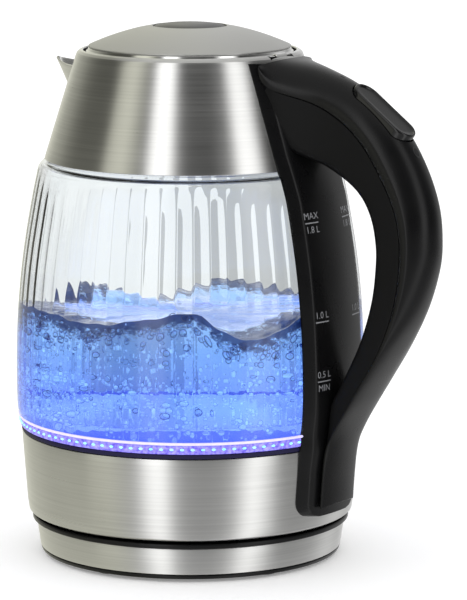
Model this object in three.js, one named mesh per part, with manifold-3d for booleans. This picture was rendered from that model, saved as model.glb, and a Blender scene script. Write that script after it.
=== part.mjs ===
// Cordless glass kettle with a brushed-steel collar and band, on its round power base.
// Millimetres, +Z up. The origin is on the kettle's axis, on the surface it stands on; the handle
// points along +X and the spout along -X. Pieces that touch keep a gap of about 0.3 mm.
import * as THREE from "three";
import { ConvexGeometry } from "three/addons/geometries/ConvexGeometry.js";
import { mergeVertices } from "three/addons/utils/BufferGeometryUtils.js";
import Module from "manifold-3d";

const wasm = await Module();
wasm.setup();

// ---- Driving dimensions --------------------------------------------------------------------------
const GAP = 0.3; // between touching pieces
const SIDES = 32; // facets round the big rings
const FEW = 20; // facets round the small ones

const FOOT = { height: 1.3, radius: 6, ring: 60, count: 5, first: -93 };
const BASE = { floor: 1.6, rimRadius: 70.2, bandLow: 3.9, bandTop: 16.2, bandLowR: 71, bandTopR: 72.7 };
const NEST = { low: 16.6, top: 19, radius: 74.6 }; // black ring that the kettle stands on
const OUTLET = { angle: 125, z: 9.4, radius: 3.4, flange: 4.3, bore: 2.5 }; // where a mains lead leaves
const POST = { radius: 15.8, top: 25, flange: 24 }; // connector post in the middle of the base

const BAND = { low: 21.3, lowR: 76.2, cornerZ: 25.9, cornerR: 76.9, top: 59, topR: 79.3, sheet: 0.8 };
const SEAL = { low: 59.3, top: 61.3, radius: 79.5, inner: 74.4 };
const LIGHT = { low: 61.6, top: 65.8, radius: 80.2, inner: 75.2 };
const PLATE = { z: 61.6, top: 63.2, radius: 74.6 }; // heating plate: the floor of the water

const GLASS_WALL = 3.8;
const GLASS_LOW = LIGHT.top + GAP;
const GLASS_TOP = 197;
const NECK_RADIUS = 62; // glass neck, inside the collar
const COLLAR = {
  low: 186.6, lowR: 67.8, shoulder: 234.2, shoulderR: 53.1, top: 237.4, mouth: 49.4, sheet: 1.1,
};
const SEAT = { low: 229.3, top: 232.4, inner: 45.6 }; // plastic ring under the lid

const STRIP = { low: 27.5, top: 235, half: 22.5, faceHalf: 17, edge: 2.2, face: 3.9, clear: 0.4 };
const GRIP = { innerHalf: 12.5, outerHalf: 13.5 };

const LID = { edgeR: 47, edgeZ: 239.1, holeR: 17.2, holeZ: 248.3, sheet: 1.2, coverR: 44 };
const BUTTON = { radius: 16.7, travel: 2.5, low: 244.6, top: 249.4, edge: 248 };
const HINGE = { x: 50, z: 236.6, pin: 0.65, hole: 0.95, barrel: 1.4, half: 4.2, ears: 8.6 };

const SPOUT = { tipX: -77.2, tipZ: 229.5, lowX: -62.6, lowZ: 199, half: 18, rimZ: 228, wall: 1.1 };
const FILTER = { width: 32, height: 22, depth: 2.2, x: -51.5, z: 216, lean: 17, bar: 2.6 };

const ROCKER = {
  x: 104.6, z: 212.2, slope: 38.9, length: 36.5, width: 14.5, below: 4.2, above: 6, tilt: 2,
};
const STEAM = { z: 207, radius: 2.9, bore: 2, start: 57, end: 78 };
const TRIP = { x: 95, z: 204.2, tip: 86.5, half: 3, thick: 0.5 };
const POCKET = { length: 39.5, width: 16.5, floor: -7.5 };

// ---- Finishes ------------------------------------------------------------------------------------
const finish = (color, roughness, metalness = 0, more = {}) =>
  new THREE.MeshStandardMaterial({ color, roughness, metalness, ...more });
const steel = () => finish(0xb4b3ae, 0.34, 1);
const polished = () => finish(0xd2d2d0, 0.12, 1);
const blackPlastic = () => finish(0x1c1b1d, 0.42);
const mattBlack = () => finish(0x141416, 0.62);
const darkRubber = () => finish(0x202022, 0.85);
const silicone = () => finish(0x2a2745, 0.6);
const brass = () => finish(0xc9a04a, 0.3, 1);
const clear = (tint) => finish(tint, 0.05, 0, { transparent: true, opacity: 0.35 });

// ---- Geometry helpers ----------------------------------------------------------------------------
const turn = (points, sides = SIDES) =>
  new THREE.LatheGeometry(points.map(([r, z]) => new THREE.Vector2(r, z)), sides).rotateX(Math.PI / 2);

// A ring or dish from its closed section, given as [radius, height] points running counter-clockwise.
const ring = (points, sides = SIDES) => turn([...points, points[0]], sides);

const tube = (inner, outer, low, top, sides = FEW) =>
  ring([[inner, low], [outer, low], [outer, top], [inner, top]], sides);

const rod = (radius, low, top, sides = FEW) =>
  turn([[0, low], [radius, low], [radius, top], [0, top]], sides);

const block = ([x0, y0, z0], [x1, y1, z1]) =>
  new THREE.BoxGeometry(x1 - x0, y1 - y0, z1 - z0).translate((x0 + x1) / 2, (y0 + y1) / 2, (z0 + z1) / 2);

// A plate standing in the XZ plane, as wide as 2 x half along Y.
function sidePlate(points, half) {
  const shape = new THREE.Shape(points.map(([x, z]) => new THREE.Vector2(x, z)));
  const plate = new THREE.ExtrudeGeometry(shape, { depth: 2 * half, bevelEnabled: false });
  return plate.rotateX(Math.PI / 2).translate(0, half, 0);
}

// A round bar along Y.
const crossRod = (radius, half, x, z, sides = 12) =>
  new THREE.CylinderGeometry(radius, radius, 2 * half, sides).translate(x, 0, z);

// A round bar along X, from x0 to x1, at a given height.
const outwardRod = (radius, x0, x1, z = OUTLET.z) =>
  new THREE.CylinderGeometry(radius, radius, x1 - x0, FEW)
    .rotateZ(Math.PI / 2)
    .translate((x0 + x1) / 2, 0, z);

function spline(points, steps) {
  const curve = new THREE.SplineCurve(points.map(([x, z]) => new THREE.Vector2(x, z)));
  return curve.getPoints(steps).map((p) => [p.x, p.y]);
}

function solid(geometry) {
  const faces = geometry.index ? geometry.toNonIndexed() : geometry;
  const bare = new THREE.BufferGeometry().setAttribute("position", faces.getAttribute("position"));
  const merged = mergeVertices(bare, 1e-4);
  return new wasm.Manifold(new wasm.Mesh({
    numProp: 3,
    vertProperties: merged.attributes.position.array,
    triVerts: new Uint32Array(merged.index.array),
  }));
}

function geometryOf(shape) {
  const mesh = shape.getMesh();
  const geometry = new THREE.BufferGeometry();
  geometry.setAttribute("position", new THREE.BufferAttribute(mesh.vertProperties, 3));
  geometry.setIndex(new THREE.BufferAttribute(mesh.triVerts, 1));
  const flat = geometry.toNonIndexed();
  flat.computeVertexNormals();
  return flat;
}

const join = (...parts) => geometryOf(parts.map(solid).reduce((a, b) => a.add(b)));
const cut = (body, ...tools) => geometryOf(tools.map(solid).reduce((a, b) => a.subtract(b), solid(body)));
const common = (a, b) => geometryOf(solid(a).intersect(solid(b)));

const kettle = new THREE.Group();
function place(name, geometry, material, parent = kettle) {
  const mesh = new THREE.Mesh(geometry, material);
  mesh.name = name;
  parent.add(mesh);
  return mesh;
}
const around = (count, first, make) => {
  for (let i = 0; i < count; i++) make(i + 1, THREE.MathUtils.degToRad(first + (i * 360) / count));
};

// ---- Outer surface of the kettle, as radius against height ---------------------------------------
const collarRadius = (z) =>
  THREE.MathUtils.mapLinear(z, COLLAR.low, COLLAR.shoulder, COLLAR.lowR, COLLAR.shoulderR);
const bandProfile = [[BAND.cornerR, BAND.cornerZ], [78.9, 53], [BAND.topR, BAND.top]];
const glassProfile = [[80.6, GLASS_LOW], [81.5, 73], [81.6, 95], [80.6, 118], [78.3, 141], [74.7, 163.5],
  [71.4, 180], [70.3, 183.4], [68.2, 185.6], [66.2, 186.4]];

// ---- Power base ----------------------------------------------------------------------------------
function powerBase() {
  const wallR = BASE.rimRadius - 2.4;
  place("base_bottom_cover", ring([
    [0, 0], [16, 0], [17.5, BASE.floor], [BASE.rimRadius, BASE.floor], [BASE.rimRadius + 0.8, 3.6],
    [wallR, 3.6], [wallR, 9], [wallR - 1.8, 9], [wallR - 1.8, 3.6], [0, 3.6],
  ]), blackPlastic());

  const bandRing = ring([
    [BASE.bandLowR - 0.8, BASE.bandLow], [BASE.bandLowR, BASE.bandLow], [BASE.bandTopR, BASE.bandTop],
    [BASE.bandTopR - 0.8, BASE.bandTop],
  ]);
  const outlet = new THREE.Group();
  outlet.rotation.z = THREE.MathUtils.degToRad(OUTLET.angle);
  kettle.add(outlet);
  const outletHole = outwardRod(OUTLET.radius + GAP, 66, 80).rotateZ(outlet.rotation.z);
  place("base_steel_band", cut(bandRing, outletHole), steel());
  const bush = join(outwardRod(OUTLET.radius, 68.6, 76.4), outwardRod(OUTLET.flange, 68.2, 69.8));
  const cordHole = outwardRod(OUTLET.bore, 60, 90);
  place("cord_outlet_bush", cut(bush, cordHole), darkRubber(), outlet);

  place("base_top_cover", ring([
    [POST.flange + GAP, 13.6], [64, 13.6], [66, 11], [67.6, 11], [68, 14], [70, NEST.low],
    [NEST.radius, NEST.low], [NEST.radius, NEST.top - 0.5], [NEST.radius - 0.5, NEST.top],
    [70.5, NEST.top], [68.6, 16.4], [POST.flange + GAP, 15.4],
  ]), blackPlastic());

  const postBody = [[5, 9], [POST.flange, 9], [POST.flange, 15.4], [POST.radius, 16.6],
    [POST.radius, POST.top - 1], [POST.radius - 1, POST.top], [12.6, POST.top], [12.6, 13], [9.8, 13],
    [9.8, POST.top], [7.6, POST.top], [7.6, 13], [5, 13]];
  place("base_connector_post", ring(postBody, FEW), blackPlastic());
  place("contact_ring_outer", tube(10.4, 12, 13.3, 22), brass());
  place("contact_ring_inner", tube(5.3, 6.7, 13.3, 23), brass());
  place("earth_contact_pin", rod(1.8, 9, 24), brass());

  around(3, 30, (n, angle) => {
    const screw = join(rod(3, 3.9, 5.7, 12), rod(1.4, 5.7, 13.3, 8));
    place("base_screw_" + n, screw.translate(44 * Math.cos(angle), 44 * Math.sin(angle), 0), steel());
  });
  around(FOOT.count, FOOT.first, (n, angle) => {
    const foot = turn([[0, 0], [FOOT.radius - 0.4, 0], [FOOT.radius, 0.4], [FOOT.radius, FOOT.height],
      [0, FOOT.height]], FEW);
    place("base_foot_" + n, foot.translate(FOOT.ring * Math.cos(angle), FOOT.ring * Math.sin(angle), 0),
      darkRubber());
  });
}

// ---- Kettle-side half of the 360 degree connector -------------------------------------------------
function coupler() {
  const outer = POST.flange - 1.4;
  place("coupler_socket", ring([
    [POST.radius + 0.7, 17.4], [outer, 17.4], [outer, 31], [0, 31], [0, 28], [POST.radius + 0.7, 28],
  ], FEW), mattBlack());
}

// ---- Heater and the jug's underside ---------------------------------------------------------------
function heater() {
  place("underside_cover", ring([
    [POST.flange + GAP, 20.4], [66, 20.4], [68, NEST.top + GAP], [73, NEST.top + GAP], [74.6, 20.6],
    [74.6, 30], [73, 30], [73, 22.4], [POST.flange + GAP, 22.4],
  ]), blackPlastic());
  place("heating_plate", ring([
    [0, PLATE.z], [PLATE.radius, PLATE.z], [PLATE.radius, PLATE.z + 3.6], [PLATE.radius - 1, PLATE.z + 3.6],
    [PLATE.radius - 1.6, PLATE.top], [0, PLATE.top],
  ]), steel());
  const element = new THREE.TorusGeometry(46, 4, 6, SIDES);
  place("heating_element", element.translate(0, 0, PLATE.z - 4 - GAP), finish(0x8d8a86, 0.5, 1));
  place("control_body", join(rod(20, 32, 46), tube(8, 12, 45, 57)), finish(0xe6e2d8, 0.6));
  place("bimetal_disc", rod(9.5, 58, 58.8), brass());
  place("led_board", tube(56, 71.5, 51, 52.6, SIDES), finish(0x1d5c3a, 0.5));
  around(3, 60, (n, angle) => {
    const screw = join(rod(3.2, 22.7, 24.6, 12), rod(1.5, 24.6, 40, 8));
    place("underside_screw_" + n, screw.translate(50 * Math.cos(angle), 50 * Math.sin(angle), 0), steel());
  });
}

// ---- Jug: steel band, seals, light ring, glass and collar ------------------------------------------
function jug() {
  const inset = ([r, z]) => [r - BAND.sheet, z];
  place("lower_steel_band", ring([
    [75.1, 20.5], [BAND.lowR, BAND.low], ...bandProfile, ...bandProfile.map(inset).reverse(),
    [BAND.lowR - 0.9, 21.9], [74.9, 21.1],
  ]), steel());
  place("seal_ring_lower", ring([
    [SEAL.inner, SEAL.low], [SEAL.radius - 0.3, SEAL.low], [SEAL.radius, SEAL.low + 0.4],
    [SEAL.radius, SEAL.top], [SEAL.inner, SEAL.top],
  ]), silicone());
  place("light_ring", ring([
    [LIGHT.inner, LIGHT.low], [LIGHT.radius - 0.4, LIGHT.low], [LIGHT.radius, LIGHT.low + 0.5],
    [LIGHT.radius + 0.2, LIGHT.top], [LIGHT.inner, LIGHT.top],
  ]), clear(0x6a5cff));

  const inside = glassProfile.slice(0, 7).map(([r, z]) => [r - GLASS_WALL, z]);
  place("glass_jug", ring([
    ...glassProfile, [64, 188], [NECK_RADIUS, 190.2], [NECK_RADIUS, GLASS_TOP],
    [NECK_RADIUS - 3.4, GLASS_TOP], [NECK_RADIUS - 3.4, 188.8], [64.4, 183.4], ...inside.reverse(),
  ]), clear(0xe8f2ff));
  place("seal_ring_upper", tube(NECK_RADIUS + GAP, NECK_RADIUS + 1.4, 190.6, 196.4, SIDES), silicone());

  const window = intersectBelow(spoutHull(SPOUT.wall + 0.4), SPOUT.rimZ - 1);
  const hingeNotch = block([47, -HINGE.ears - 0.8, SEAT.top + GAP], [51.7, HINGE.ears + 0.8, 245]);
  const shell = ring([
    [COLLAR.lowR - COLLAR.sheet, COLLAR.low], [COLLAR.lowR, COLLAR.low],
    [COLLAR.shoulderR, COLLAR.shoulder], [52.4, 236], [51.1, 237.1],
    [COLLAR.mouth + 0.2, COLLAR.top], [COLLAR.mouth, 236.4], [50.5, 236],
    [51.4, 235], [COLLAR.shoulderR - COLLAR.sheet, COLLAR.shoulder - 0.4],
  ]);
  const steamHole = outwardRod(STEAM.radius + GAP, 50, 75, STEAM.z);
  place("collar_shell", cut(shell, window, hingeNotch, steamHole), steel());

  const catchNotch = block([-49, -4.7, SEAT.low + 0.4], [-40, 4.7, 240]);
  const hingeFoot = block([48.4, -9.2, SEAT.top - 1.2], [60, 9.2, 240]);
  const seatWall = (z) => [collarRadius(z) - COLLAR.sheet - 0.6, z];
  place("lid_seat_ring", cut(ring([
    [SEAT.inner, SEAT.low], seatWall(SEAT.low), seatWall(SEAT.top), [SEAT.inner, SEAT.top],
  ]), catchNotch, hingeFoot), blackPlastic());
}

// ---- Spout: a folded sheet-steel beak over a window in the collar ----------------------------------
function spoutHull(shrink) {
  const { tipX, tipZ, lowX, lowZ, half, rimZ } = SPOUT;
  const top = shrink ? 20 : 0; // the inner hull runs on upwards, so that the beak stays open
  const corner = (x, y, z) => new THREE.Vector3(x, y, z);
  const w = half - shrink;
  return new ConvexGeometry([
    corner(tipX + 1.6 * shrink, 0, tipZ), corner(lowX + 1.6 * shrink, 0, lowZ + 1.5 * shrink),
    corner(tipX + 1.6 * shrink, 0, tipZ + top),
    ...[-1, 1].flatMap((s) => [
      corner(-46, s * w, rimZ), corner(-46, s * w, rimZ + top),
      corner(-46, s * w * 0.55, lowZ + 1.5 * shrink),
      corner(-62, s * w * 0.66, rimZ + 0.3), corner(-62, s * w * 0.66, rimZ + top),
    ]),
  ]);
}
const intersectBelow = (shape, z) => common(shape, block([-100, -50, 150], [0, 50, z]));

function spoutAndFilter() {
  const coneAt = (z, clear) => [collarRadius(z) + clear, z];
  const cone = turn([[0, 190], coneAt(190, GAP), coneAt(COLLAR.shoulder, GAP), coneAt(245, GAP), [0, 245]]);
  place("spout", cut(spoutHull(0), spoutHull(SPOUT.wall), cone), steel());

  const holder = new THREE.Group();
  holder.position.set(FILTER.x, 0, FILTER.z);
  holder.rotation.y = THREE.MathUtils.degToRad(FILTER.lean);
  kettle.add(holder);
  const [d, w, h] = [FILTER.depth / 2, FILTER.width / 2, FILTER.height / 2];
  const b = FILTER.bar;
  const frame = cut(block([-d, -w, -h], [d, w, h]), block([-9, b - w, b - h], [9, w - b, h - b]));
  const tab = block([d - 0.4, -4, h - 2], [d + 4, 4, h - 0.6]);
  place("filter_frame", join(frame, tab), blackPlastic(), holder);
  const m = b + GAP;
  place("filter_mesh", block([-0.3, m - w, m - h], [0.3, w - m, h - m]), polished(), holder);
}

// ---- Handle ----------------------------------------------------------------------------------------
// Side outlines of the handle, as [x, z]: the inside of the finger gap, the seam and the back.
const gapCurve = [[71.8, 193.4], [83, 189], [98, 180], [105.6, 169.5], [108.9, 156], [108.8, 143],
  [106.6, 128], [100.9, 110], [92.7, 93], [87.2, 83]];
const seamCurve = [[61.6, 223.2], [80.3, 217], [94.3, 208.9], [104.1, 199.6], [112, 188], [119.3, 174],
  [122.8, 160], [122.6, 143], [119.5, 126], [112.5, 107.5], [102.3, 90.5], [93.5, 76], [88.2, 62]];
const backCurve = [[58, 236.4], [72, 233.3], [88, 227.8], [102, 220], [112.5, 211.4], [120.4, 202.5],
  [128.2, 189], [133.6, 174], [135.5, 160], [134.3, 146], [127.4, 126], [115.6, 106], [102.4, 86],
  [93, 71.5], [88, 59], [85.6, 46], [84.6, 33]];

function handle() {
  const skin = (z) => {
    if (z < SEAL.low) return THREE.MathUtils.mapLinear(z, BAND.cornerZ, BAND.top, BAND.cornerR, BAND.topR);
    return collarRadius(z);
  };
  const body = [[skin(STRIP.low), STRIP.low], [BAND.topR + 0.3, BAND.top], [LIGHT.radius + 0.3, LIGHT.top],
    ...glassProfile.slice(1, 8), [69.4, 187.6], [collarRadius(STRIP.top), STRIP.top]];
  const layer = (depth, half) => {
    const inner = body.map(([r, z]) => [r + STRIP.clear, z]);
    const outer = body.map(([r, z]) => [r + depth, z]);
    return common(ring([...outer, ...inner.reverse()]), block([20, -half, 0], [120, half, 300]));
  };
  const steamHole = outwardRod(STEAM.radius + GAP, 50, 75, STEAM.z);
  const strip = join(layer(STRIP.edge, STRIP.half), layer(STRIP.face, STRIP.faceHalf));
  place("handle_backbone", cut(strip, steamHole), mattBlack());

  const faceX = (z) => {
    const points = body.map(([r, h]) => [h, r]);
    const i = Math.max(1, points.findIndex(([h]) => h >= z));
    return THREE.MathUtils.mapLinear(z, points[i - 1][0], points[i][0], points[i - 1][1], points[i][1])
      + STRIP.face + GAP;
  };
  const along = (low, high, steps) =>
    Array.from({ length: steps + 1 }, (_, i) => low + ((high - low) * i) / steps).map((z) => [faceX(z), z]);

  const gapLine = spline(gapCurve, 26);
  const seamLine = spline(seamCurve, 30);
  const shift = (points, dx, dz) => points.map(([x, z]) => [x + dx, z + dz]);
  const innerOutline = [...shift(seamLine.slice(0, -2), -GAP / 2, -GAP / 2).reverse(),
    ...along(222, 195, 3), ...gapLine, ...along(80, 68, 2)];
  const innerSolid = sidePlate(innerOutline, GRIP.innerHalf);
  const bay = block([70, -9, 198], [97, 9, 240]);
  place("handle_inner", cut(innerSolid, bay, steamHole), mattBlack());
  place("steam_tube", cut(outwardRod(STEAM.radius, STEAM.start, STEAM.end, STEAM.z),
    outwardRod(STEAM.bore, STEAM.start - 1, STEAM.end + 1, STEAM.z)), silicone());

  const outerOutline = [...spline(backCurve, 40), ...along(31.5, 58, 3),
    ...shift(seamLine, GAP / 2, GAP / 2).reverse(), ...along(226, 233, 2)];
  const pocket = block([-POCKET.length / 2, -POCKET.width / 2, POCKET.floor],
    [POCKET.length / 2, POCKET.width / 2, 30]);
  const linkWell = block([-12, -3, POCKET.floor - 9], [-5.6, 3, 0]);
  const seated = (geometry) =>
    geometry.rotateY(THREE.MathUtils.degToRad(ROCKER.slope)).translate(ROCKER.x, 0, ROCKER.z);
  place("handle_outer", cut(sidePlate(outerOutline, GRIP.outerHalf), seated(pocket), seated(linkWell)),
    blackPlastic());

  place("switch_module", block([84, -7, 198.5], [95, 7, 202.6]), finish(0xe6e2d8, 0.6));
  place("steam_bimetal", rod(6, 0, 0.6).rotateY(Math.PI / 2).translate(80, 0, 205.5), brass());
}

// ---- Rocker switch on the handle, with its link and trip lever --------------------------------------
function rockerSwitch() {
  const seat = new THREE.Group();
  seat.position.set(ROCKER.x, 0, ROCKER.z);
  seat.rotation.y = THREE.MathUtils.degToRad(ROCKER.slope);
  kettle.add(seat);
  const end = ROCKER.width / 2;
  const flat = ROCKER.length / 2 - end;
  const pill = new THREE.Shape();
  pill.absarc(flat, 0, end, -Math.PI / 2, Math.PI / 2);
  pill.absarc(-flat, 0, end, Math.PI / 2, Math.PI * 1.5);
  const depth = ROCKER.below + ROCKER.above;
  const key = new THREE.ExtrudeGeometry(pill, { depth, bevelEnabled: false, curveSegments: 8 });
  key.translate(0, 0, -ROCKER.below).rotateY(THREE.MathUtils.degToRad(-ROCKER.tilt));
  place("power_rocker", cut(key, crossRod(1.8, 20, 0, 0)), blackPlastic(), seat);
  place("rocker_pin", crossRod(1.4, POCKET.width / 2 - GAP, 0, 0), steel(), seat);
  place("switch_link", block([-10.4, -2, -14.5], [-7.4, 2, -5.2]), finish(0xe6e2d8, 0.6), seat);
  const { x, z, tip, half, thick } = TRIP;
  const blade = block([tip, -half, z - thick], [x, half, z + thick]);
  place("trip_lever", join(blade, crossRod(1.1, half, x, z)), brass());
}

// ---- Lid ---------------------------------------------------------------------------------------------
function lid() {
  const rise = (r) => {
    const t = (r * r - LID.holeR ** 2) / (LID.edgeR ** 2 - LID.holeR ** 2);
    return LID.holeZ + (LID.edgeZ - LID.holeZ) * t;
  };
  const stations = [LID.holeR, 24, 30, 36, 41, 45, LID.edgeR];
  place("lid_dome", ring([
    ...stations.map((r) => [r, rise(r)]).reverse(),
    ...stations.slice(0, -1).map((r) => [r, rise(r) - LID.sheet]),
    [LID.edgeR - 1.4, 238.7], [LID.edgeR, 238.7],
  ]), finish(0xb9b9b7, 0.45, 1));
  place("lid_rim_ring", ring([
    [44.6, 235.4], [48.3, 235.4], [48.3, 236.6], [47.4, 237.2], [46.9, 238.4], [45.4, 238.4],
    [45.4, 236.6], [44.6, 236.6],
  ]), polished());
  const boltWay = block([-60, -4.7, 232.4], [-24, 4.7, 240]);
  place("lid_inner_cover", cut(ring([
    [0, 231.4], [LID.coverR - 1, 231.4], [LID.coverR, 232.4], [LID.coverR, 234], [5, 234], [5, 240],
    [4.3, 240], [4.3, 234], [0, 234],
  ]), boltWay), blackPlastic());
  const seal = tube(LID.coverR + GAP, SEAT.inner - GAP, 232.8, 233.8, SIDES);
  place("lid_seal", cut(seal, boltWay), silicone());
  place("latch_bolt", block([-47.2, -4, 232.7], [-30, 4, 234.2]), blackPlastic());

  const stem = rod(3.9, 237, BUTTON.low);
  const cap = turn([[0, BUTTON.low], [BUTTON.radius, BUTTON.low], [BUTTON.radius, BUTTON.edge], [12, 249],
    [0, BUTTON.top]], SIDES);
  place("lid_button", join(stem, cap.translate(0, 0, -0.05)), finish(0x3a3a3a, 0.4));
  place("button_spring", coil(6.4, 0.5, 234.8, 243.9, 4), steel());

  const { x, z } = HINGE;
  const arm = join(block([38, -HINGE.half, 234.3], [x - 0.6, HINGE.half, 235.1]),
    block([48.7, -HINGE.half, 234.3], [50.4, HINGE.half, 236]), crossRod(HINGE.barrel, HINGE.half, x, z));
  place("lid_hinge_arm", cut(arm, crossRod(HINGE.hole, 20, x, z)), polished());
  const ears = block([48.7, -HINGE.ears, SEAT.top - 0.9], [51.4, HINGE.ears, 237]);
  const between = block([40, -HINGE.half - GAP, 233.6], [60, HINGE.half + GAP, 245]);
  place("hinge_block", cut(ears, between, crossRod(HINGE.hole, 20, x, z)), blackPlastic());
  place("hinge_pin", crossRod(HINGE.pin, HINGE.ears - 0.2, x, z), steel());
}

// A coil spring with a round wire, standing on Z.
function coil(radius, wire, low, top, turns) {
  const steps = turns * 8;
  const points = Array.from({ length: steps + 1 }, (_, i) => {
    const a = (i / 8) * Math.PI * 2;
    return new THREE.Vector3(radius * Math.cos(a), radius * Math.sin(a), low + ((top - low) * i) / steps);
  });
  const circle = new THREE.Shape().absarc(0, 0, wire, 0, Math.PI * 2);
  const extrudePath = new THREE.CatmullRomCurve3(points);
  return new THREE.ExtrudeGeometry(circle, { steps, curveSegments: 4, bevelEnabled: false, extrudePath });
}

powerBase();
coupler();
heater();
jug();
spoutAndFilter();
handle();
rockerSwitch();
lid();

export default kettle;
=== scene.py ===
# %% [markdown]
# # A glass electric kettle, built piece by piece
# This lesson dresses a finished mechanical model of a cordless glass kettle: turned steel and
# plastic rings, a fluted glass jug, a looped handle, a folded spout, and boiling water lit from
# below. The mechanical model is the frame. Every piece made here takes its place from it and moves
# with one of its bodies, so the first step loads it. Blender works in metres, but a kettle is drawn
# in millimetres, so shapes are written in millimetres and scaled once.

# %% Load the frame
import math

import bmesh
import bpy
import numpy as np
from mathutils import Matrix, Vector


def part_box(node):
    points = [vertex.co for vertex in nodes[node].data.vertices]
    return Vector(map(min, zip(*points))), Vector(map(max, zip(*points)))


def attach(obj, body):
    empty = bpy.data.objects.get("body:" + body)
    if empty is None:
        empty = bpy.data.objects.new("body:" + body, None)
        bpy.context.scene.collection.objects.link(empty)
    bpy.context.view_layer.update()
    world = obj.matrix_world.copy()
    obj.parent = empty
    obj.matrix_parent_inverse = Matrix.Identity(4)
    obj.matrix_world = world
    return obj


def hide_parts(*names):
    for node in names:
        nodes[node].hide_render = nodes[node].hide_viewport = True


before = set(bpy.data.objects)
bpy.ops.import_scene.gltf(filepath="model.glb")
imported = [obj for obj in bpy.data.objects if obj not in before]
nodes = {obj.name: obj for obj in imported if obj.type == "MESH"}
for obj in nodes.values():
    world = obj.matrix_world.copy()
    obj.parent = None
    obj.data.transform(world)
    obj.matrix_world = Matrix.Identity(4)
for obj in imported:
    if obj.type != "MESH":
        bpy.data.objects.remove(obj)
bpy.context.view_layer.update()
scene = bpy.context.scene
MM = 0.001

# %% [markdown]
# ## The camera
# A long lens far away keeps a kettle's sides nearly parallel, as in a catalogue. The camera stands
# 1.72 m off, a little above the lid, and the handle is turned 35 degrees towards it on the right.

# %% Camera
HANDLE_TURN = math.radians(35)
CAMERA_AWAY, CAMERA_HEIGHT = 1.7193, 0.4067
LOOK_DOWN, LOOK_RIGHT = 0.1658, 0.0118

camera = bpy.data.objects.new("camera", bpy.data.cameras.new("camera"))
scene.collection.objects.link(camera)
scene.camera = camera
camera.data.lens = 222.87
camera.data.clip_end = 100
camera.location = Matrix.Rotation(HANDLE_TURN, 3, "Z") @ Vector((0, -CAMERA_AWAY, CAMERA_HEIGHT))
level = math.cos(LOOK_DOWN)
forward = Vector((math.sin(LOOK_RIGHT) * level, math.cos(LOOK_RIGHT) * level, -math.sin(LOOK_DOWN)))
camera.rotation_mode = "QUATERNION"
camera.rotation_quaternion = (Matrix.Rotation(HANDLE_TURN, 3, "Z") @ forward).to_track_quat("-Z", "Y")
print("camera at", [round(v, 4) for v in camera.location])

# %% [markdown]
# ## Two small helpers for materials
# A material here is a little program of nodes. One function adds any node with its settings and
# links, and another turns the hex colours that people pick on a screen into the linear values that
# a renderer needs.

# %% Node and colour helpers
def add(tree, kind, sockets=None, **settings):
    """Adds a node. A socket given another node's output is linked, and any other value is set on it."""
    made = tree.nodes.new("ShaderNode" + kind if tree.type == "SHADER" else kind)
    for setting, value in settings.items():
        setattr(made, setting, value)
    for key, value in (sockets or {}).items():
        if isinstance(value, bpy.types.NodeSocket):
            tree.links.new(value, made.inputs[key])
        else:
            made.inputs[key].default_value = value
    return made


def colour(hex_code):
    """An sRGB hex colour as linear red, green, blue and alpha."""
    parts = [int(hex_code[i : i + 2], 16) / 255 for i in (1, 3, 5)]
    return [v / 12.92 if v <= 0.04045 else ((v + 0.055) / 1.055) ** 2.4 for v in parts] + [1.0]


def material(name):
    """An empty node material, and its tree."""
    made = bpy.data.materials.new(name)
    made.use_nodes = True
    made.node_tree.nodes.clear()
    return made, made.node_tree


def shade(tree, sockets):
    """Ends a material with a Principled shader that takes these sockets."""
    shader = add(tree, "BsdfPrincipled", sockets)
    add(tree, "OutputMaterial", {"Surface": shader.outputs[0]})
    return shader


def object_noise(tree, scale, detail=3.0, stretch=(1, 1, 1)):
    """Noise on the piece's own coordinates. The scale is in features per metre."""
    place = add(tree, "TexCoord").outputs["Object"]
    turned = add(tree, "Mapping", {"Vector": place, "Scale": [scale * s for s in stretch]})
    return add(tree, "TexNoise", {"Vector": turned.outputs[0], "Scale": 1.0, "Detail": detail}).outputs[0]


def spread(tree, value, low, high):
    """Stretches the middle of a noise to run from low to high."""
    return add(tree, "MapRange", {0: value, 1: 0.3, 2: 0.7, 3: low, 4: high}).outputs[0]


def blended(tree, factor, first, second):
    """A colour between two, each a hex code or another node's output."""
    ends = [colour(c) if isinstance(c, str) else c for c in (first, second)]
    return add(tree, "Mix", {0: factor, 6: ends[0], 7: ends[1]}, data_type="RGBA").outputs[2]


def bumped(tree, height, depth_mm, strength=0.5):
    """A normal that raises a pattern by this many millimetres."""
    return add(tree, "Bump", {"Strength": strength, "Distance": depth_mm * MM, "Height": height}).outputs[0]


def ramp(tree, value, stops):
    """A colour ramp on a value, from (place, colour) stops."""
    made = add(tree, "ValToRGB", {0: value})
    while len(made.color_ramp.elements) < len(stops):
        made.color_ramp.elements.new(0.5)
    for element, (place, shown) in zip(made.color_ramp.elements, sorted(stops)):
        element.position, element.color = place, shown
    return made.outputs[0]


print("helpers ready: add, colour, material, shade, object_noise, spread, blended, bumped, ramp")

# %% [markdown]
# ## The studio
# The floor is plain and pale, and a white sky gives soft light from everywhere. Steel shows nothing
# but what it mirrors, so a studio hangs a tent of bright and dark cloth round it: the tall bright
# strips are what draw the vertical bands on a brushed cylinder. Here the tent is a large sphere that
# only mirror-like rays can see.

# %% The steel's tent
def sphere(name, radius):
    """A large smooth sphere round the set."""
    mesh = bmesh.new()
    bmesh.ops.create_uvsphere(mesh, u_segments=96, v_segments=48, radius=radius)
    made = bpy.data.objects.new(name, bpy.data.meshes.new(name))
    mesh.to_mesh(made.data)
    mesh.free()
    scene.collection.objects.link(made)
    return made


def only_seen_by(thing, **kinds):
    """Hides a stage object from every kind of ray but the ones named."""
    for kind in ("camera", "diffuse", "glossy", "transmission", "volume_scatter", "shadow"):
        setattr(thing, "visible_" + kind, kinds.get(kind, False))


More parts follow.
